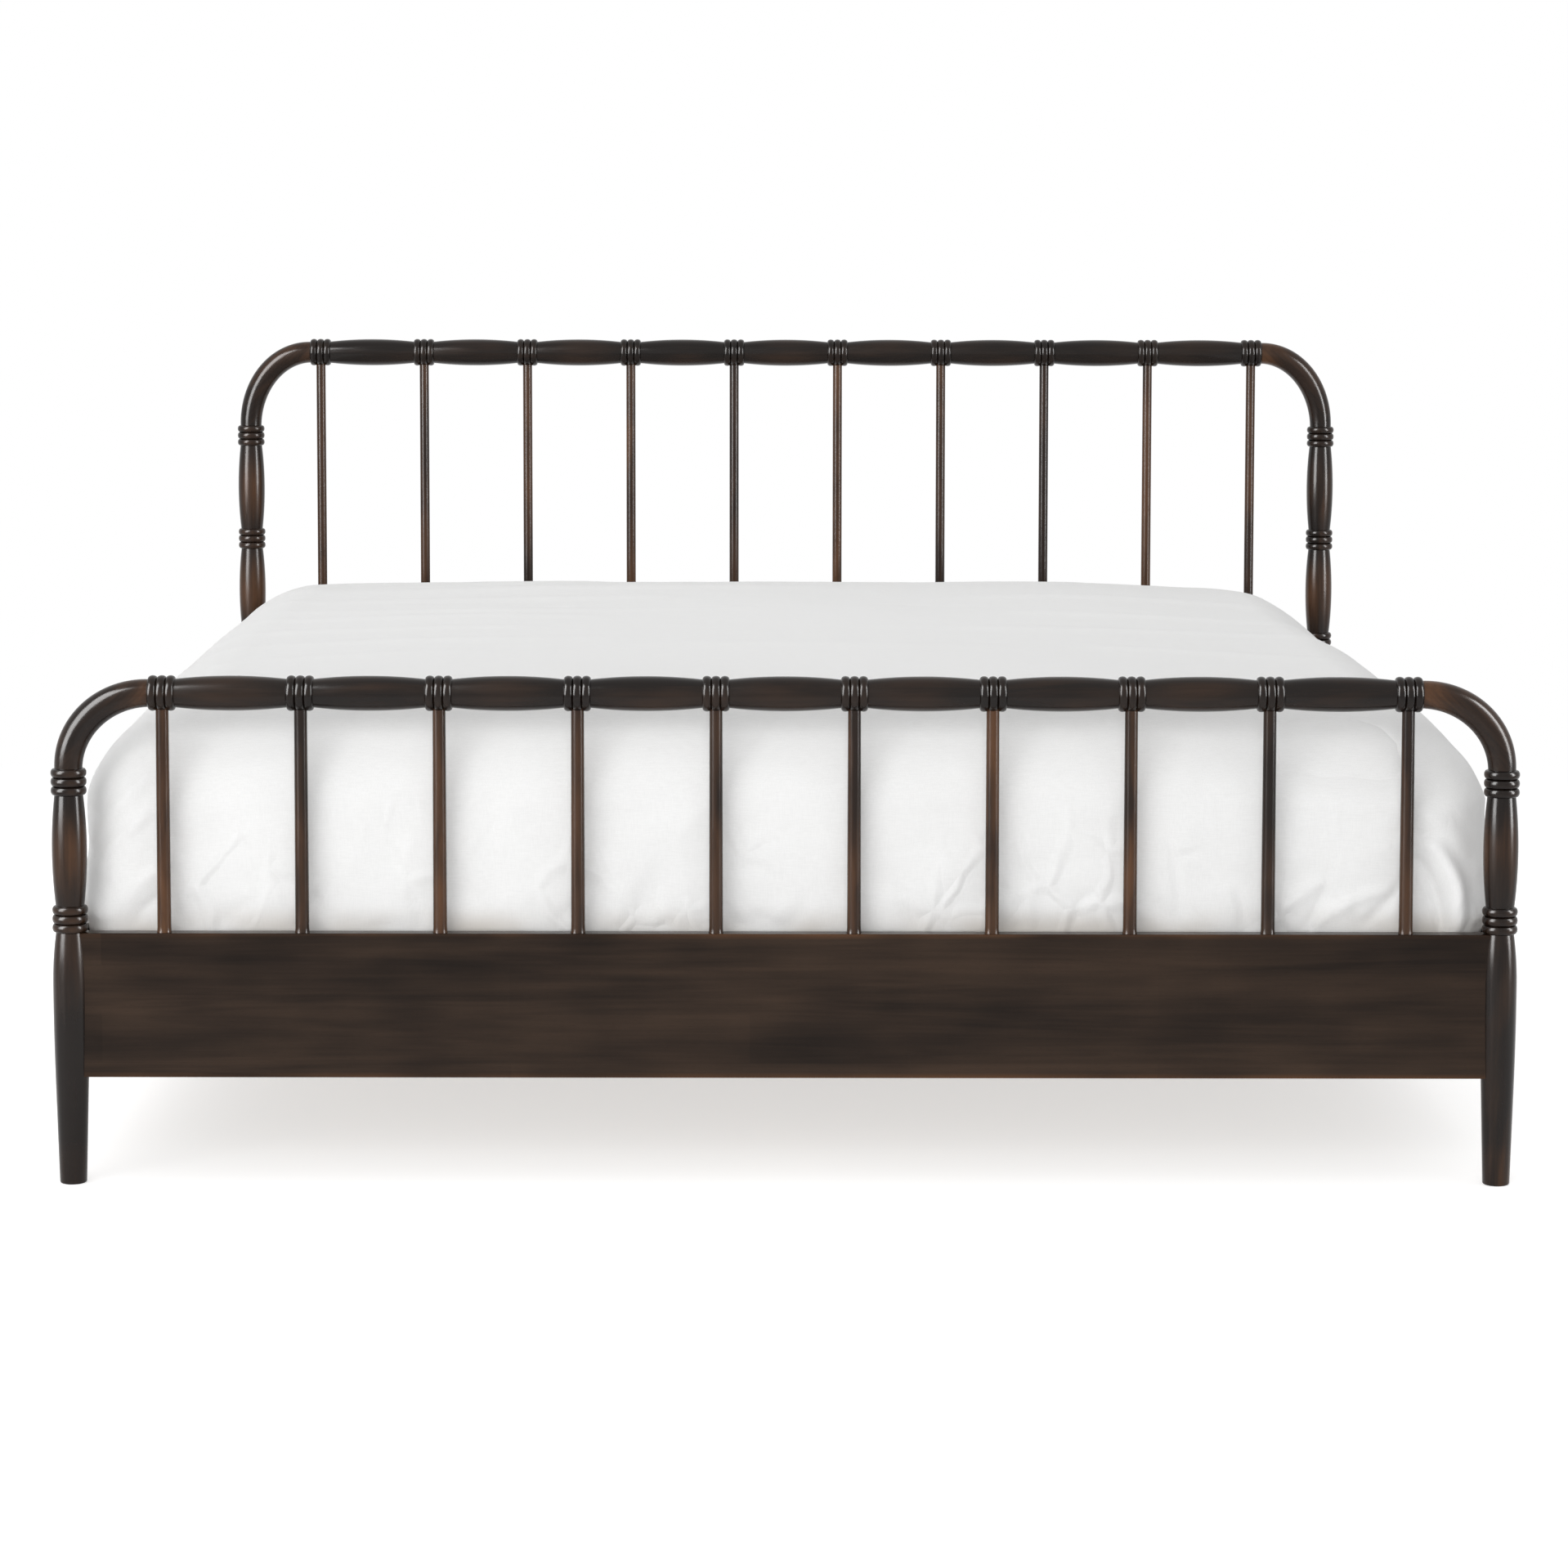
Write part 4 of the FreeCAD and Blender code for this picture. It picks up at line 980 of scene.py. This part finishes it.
def makeMattress():
    # a padded block: soft top edge, small lower edge, and a raised tape where the panels are sewn together
    low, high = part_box("mattress")
    roll, foot = mattress["roll"], mattress["foot"]
    bend = np.linspace(0, math.pi / 2, mattress["rollSteps"] + 1)
    side = np.linspace(low.z + foot, high.z - roll, mattress["sideRings"] + 2)[1:-1]
    middleShares = np.array([0.003, 0.25, 0.5, 0.75])
    height = np.concatenate([np.full(4, low.z), low.z + foot * (1 - np.cos(bend[::2])), side,
                             high.z - roll * (1 - np.sin(bend)), np.full(4, high.z)])
    tapes = sum(np.exp(-((height - level) / mattress["tapeWidth"]) ** 2) for level in
                (low.z + foot, high.z - roll))

    def half(full):
        lowest, top = full - foot, full - roll
        plain = np.concatenate([lowest * middleShares, lowest + foot * np.sin(bend[::2]),
                                np.full(len(side), full), full - roll * (1 - np.cos(bend)),
                                top * middleShares[::-1]])
        return plain - mattress["tapeRise"] * (1 - tapes) * (plain > 0.8)

    halfX, halfY = half(high.x), half(high.y)
    radius = np.minimum(mattress["corner"], 0.5 * halfX)
    points = roundedRings(halfX, halfY, radius, height, (mattress["sideSteps"],) * 4, mattress["arcSteps"])
    weave = points.copy()
    upright = (height > low.z + foot / 2) & (height < high.z - roll / 2)
    steps = np.linalg.norm(np.diff(points[20], axis=0, append=points[20][:1]), axis=1)
    weave[upright, :, 0] = np.cumsum(steps)[None, :]
    weave[upright, :, 1] = height[upright][:, None]
    piece = closedSurface("mattress_case", points, {"weave": weave}, "ticking", "bedding",
                          "mattress", sharpAngle=180)


makeMattress()
print("mattress made")

studio = {
    "ambient": 0.58,             # the world's light on the bed
    "floorColour": (0.86, 0.86, 0.86),
    "floorLift": 0.60,           # added where it is seen or mirrored, so that the open floor is white
    "floorClear": (2.3, 4.2),    # metres from the middle where the floor turns to plain white
    "floorReach": 30.0,
    "lamps": {
        # name: (place, aim, width, height, watts, strip); a strip is only mirrored, the others only light
        "frontFill": ((-2.6, -8.3, 2.4), (0, -0.8, 0.5), 9.0, 5.6, 450, False),
        "overhead": ((-0.6, 1.8, 4.2), (0, 1.5, 0), 6.0, 5.0, 60, False),
        "leftStrip": ((-5.0, -4.2, 3.4), (0, -0.8, 0.8), 3.4, 6.8, 1600, True),
        "rightStrip": ((5.6, -2.8, 2.6), (0, -0.8, 0.8), 1.6, 5.2, 700, True),
    },
}


def lightPathShare(tree, *names):
    # 1 for the ray kinds named, else 0
    path = addNode(tree, "ShaderNodeLightPath").outputs
    share = path[names[0]]
    for name in names[1:]:
        share = maths(tree, "MAXIMUM", share, path[name])
    return share


def makeWorld():
    # even grey light for the bed; the background is plain white, also where lacquer or steel mirrors it
    world = bpy.data.worlds.new("studio")
    bpy.context.scene.world = world
    world.use_nodes = True
    tree = world.node_tree
    tree.nodes.clear()
    white = lightPathShare(tree, "Is Camera Ray", "Is Glossy Ray", "Is Transmission Ray")
    strength = maths(tree, "MAXIMUM", white, studio["ambient"])
    light = addNode(tree, "ShaderNodeBackground", {"Color": (1, 1, 1, 1), "Strength": strength})
    output = addNode(tree, "ShaderNodeOutputWorld")
    tree.links.new(light.outputs[0], output.inputs["Surface"])


def makeFloor():
    # a pale floor that keeps the bed's shadow and turns to the white of the background further out
    material = bpy.data.materials.new("floor")
    material.use_nodes = True
    tree = material.node_tree
    tree.nodes.clear()
    place = objectPlace(tree)
    away = addNode(tree, "ShaderNodeVectorMath", {0: place}, operation="LENGTH").outputs["Value"]
    near = addNode(tree, "ShaderNodeBsdfDiffuse", {"Color": (*studio["floorColour"], 1.0)})
    seen = lightPathShare(tree, "Is Camera Ray", "Is Glossy Ray", "Is Transmission Ray")
    lift = addNode(tree, "ShaderNodeEmission",
                   {"Strength": maths(tree, "MULTIPLY", seen, studio["floorLift"])})
    both = addNode(tree, "ShaderNodeAddShader", {0: near.outputs[0], 1: lift.outputs[0]})
    white = addNode(tree, "ShaderNodeEmission", {"Strength": 1.0})
    fade = maths(tree, "MULTIPLY", ramped(tree, away, *studio["floorClear"]), seen)
    mix = addNode(tree, "ShaderNodeMixShader", {0: fade, 1: both.outputs[0], 2: white.outputs[0]})
    output = addNode(tree, "ShaderNodeOutputMaterial")
    tree.links.new(mix.outputs[0], output.inputs["Surface"])
    reach = studio["floorReach"]
    mesh = bpy.data.meshes.new("floor")
    mesh.from_pydata([(-reach, -reach, 0), (reach, -reach, 0), (reach, reach, 0), (-reach, reach, 0)], [],
                     [(0, 1, 2, 3)])
    mesh.materials.append(material)
    floor = bpy.data.objects.new("floor", mesh)
    bpy.context.scene.collection.objects.link(floor)


def makeLamps():
    for name, (place, aim, width, height, watts, strip) in studio["lamps"].items():
        data = bpy.data.lights.new(name, "AREA")
        data.shape = "RECTANGLE"
        data.size, data.size_y, data.energy = width, height, watts
        lamp = bpy.data.objects.new(name, data)
        lamp.location = place
        lamp.rotation_euler = (Vector(aim) - Vector(place)).to_track_quat("-Z", "Y").to_euler()
        lamp.visible_glossy = strip
        lamp.visible_diffuse = not strip
        bpy.context.scene.collection.objects.link(lamp)


makeWorld()
makeFloor()
makeLamps()
bpy.context.scene.view_settings.view_transform = "Standard"
print("studio lit")
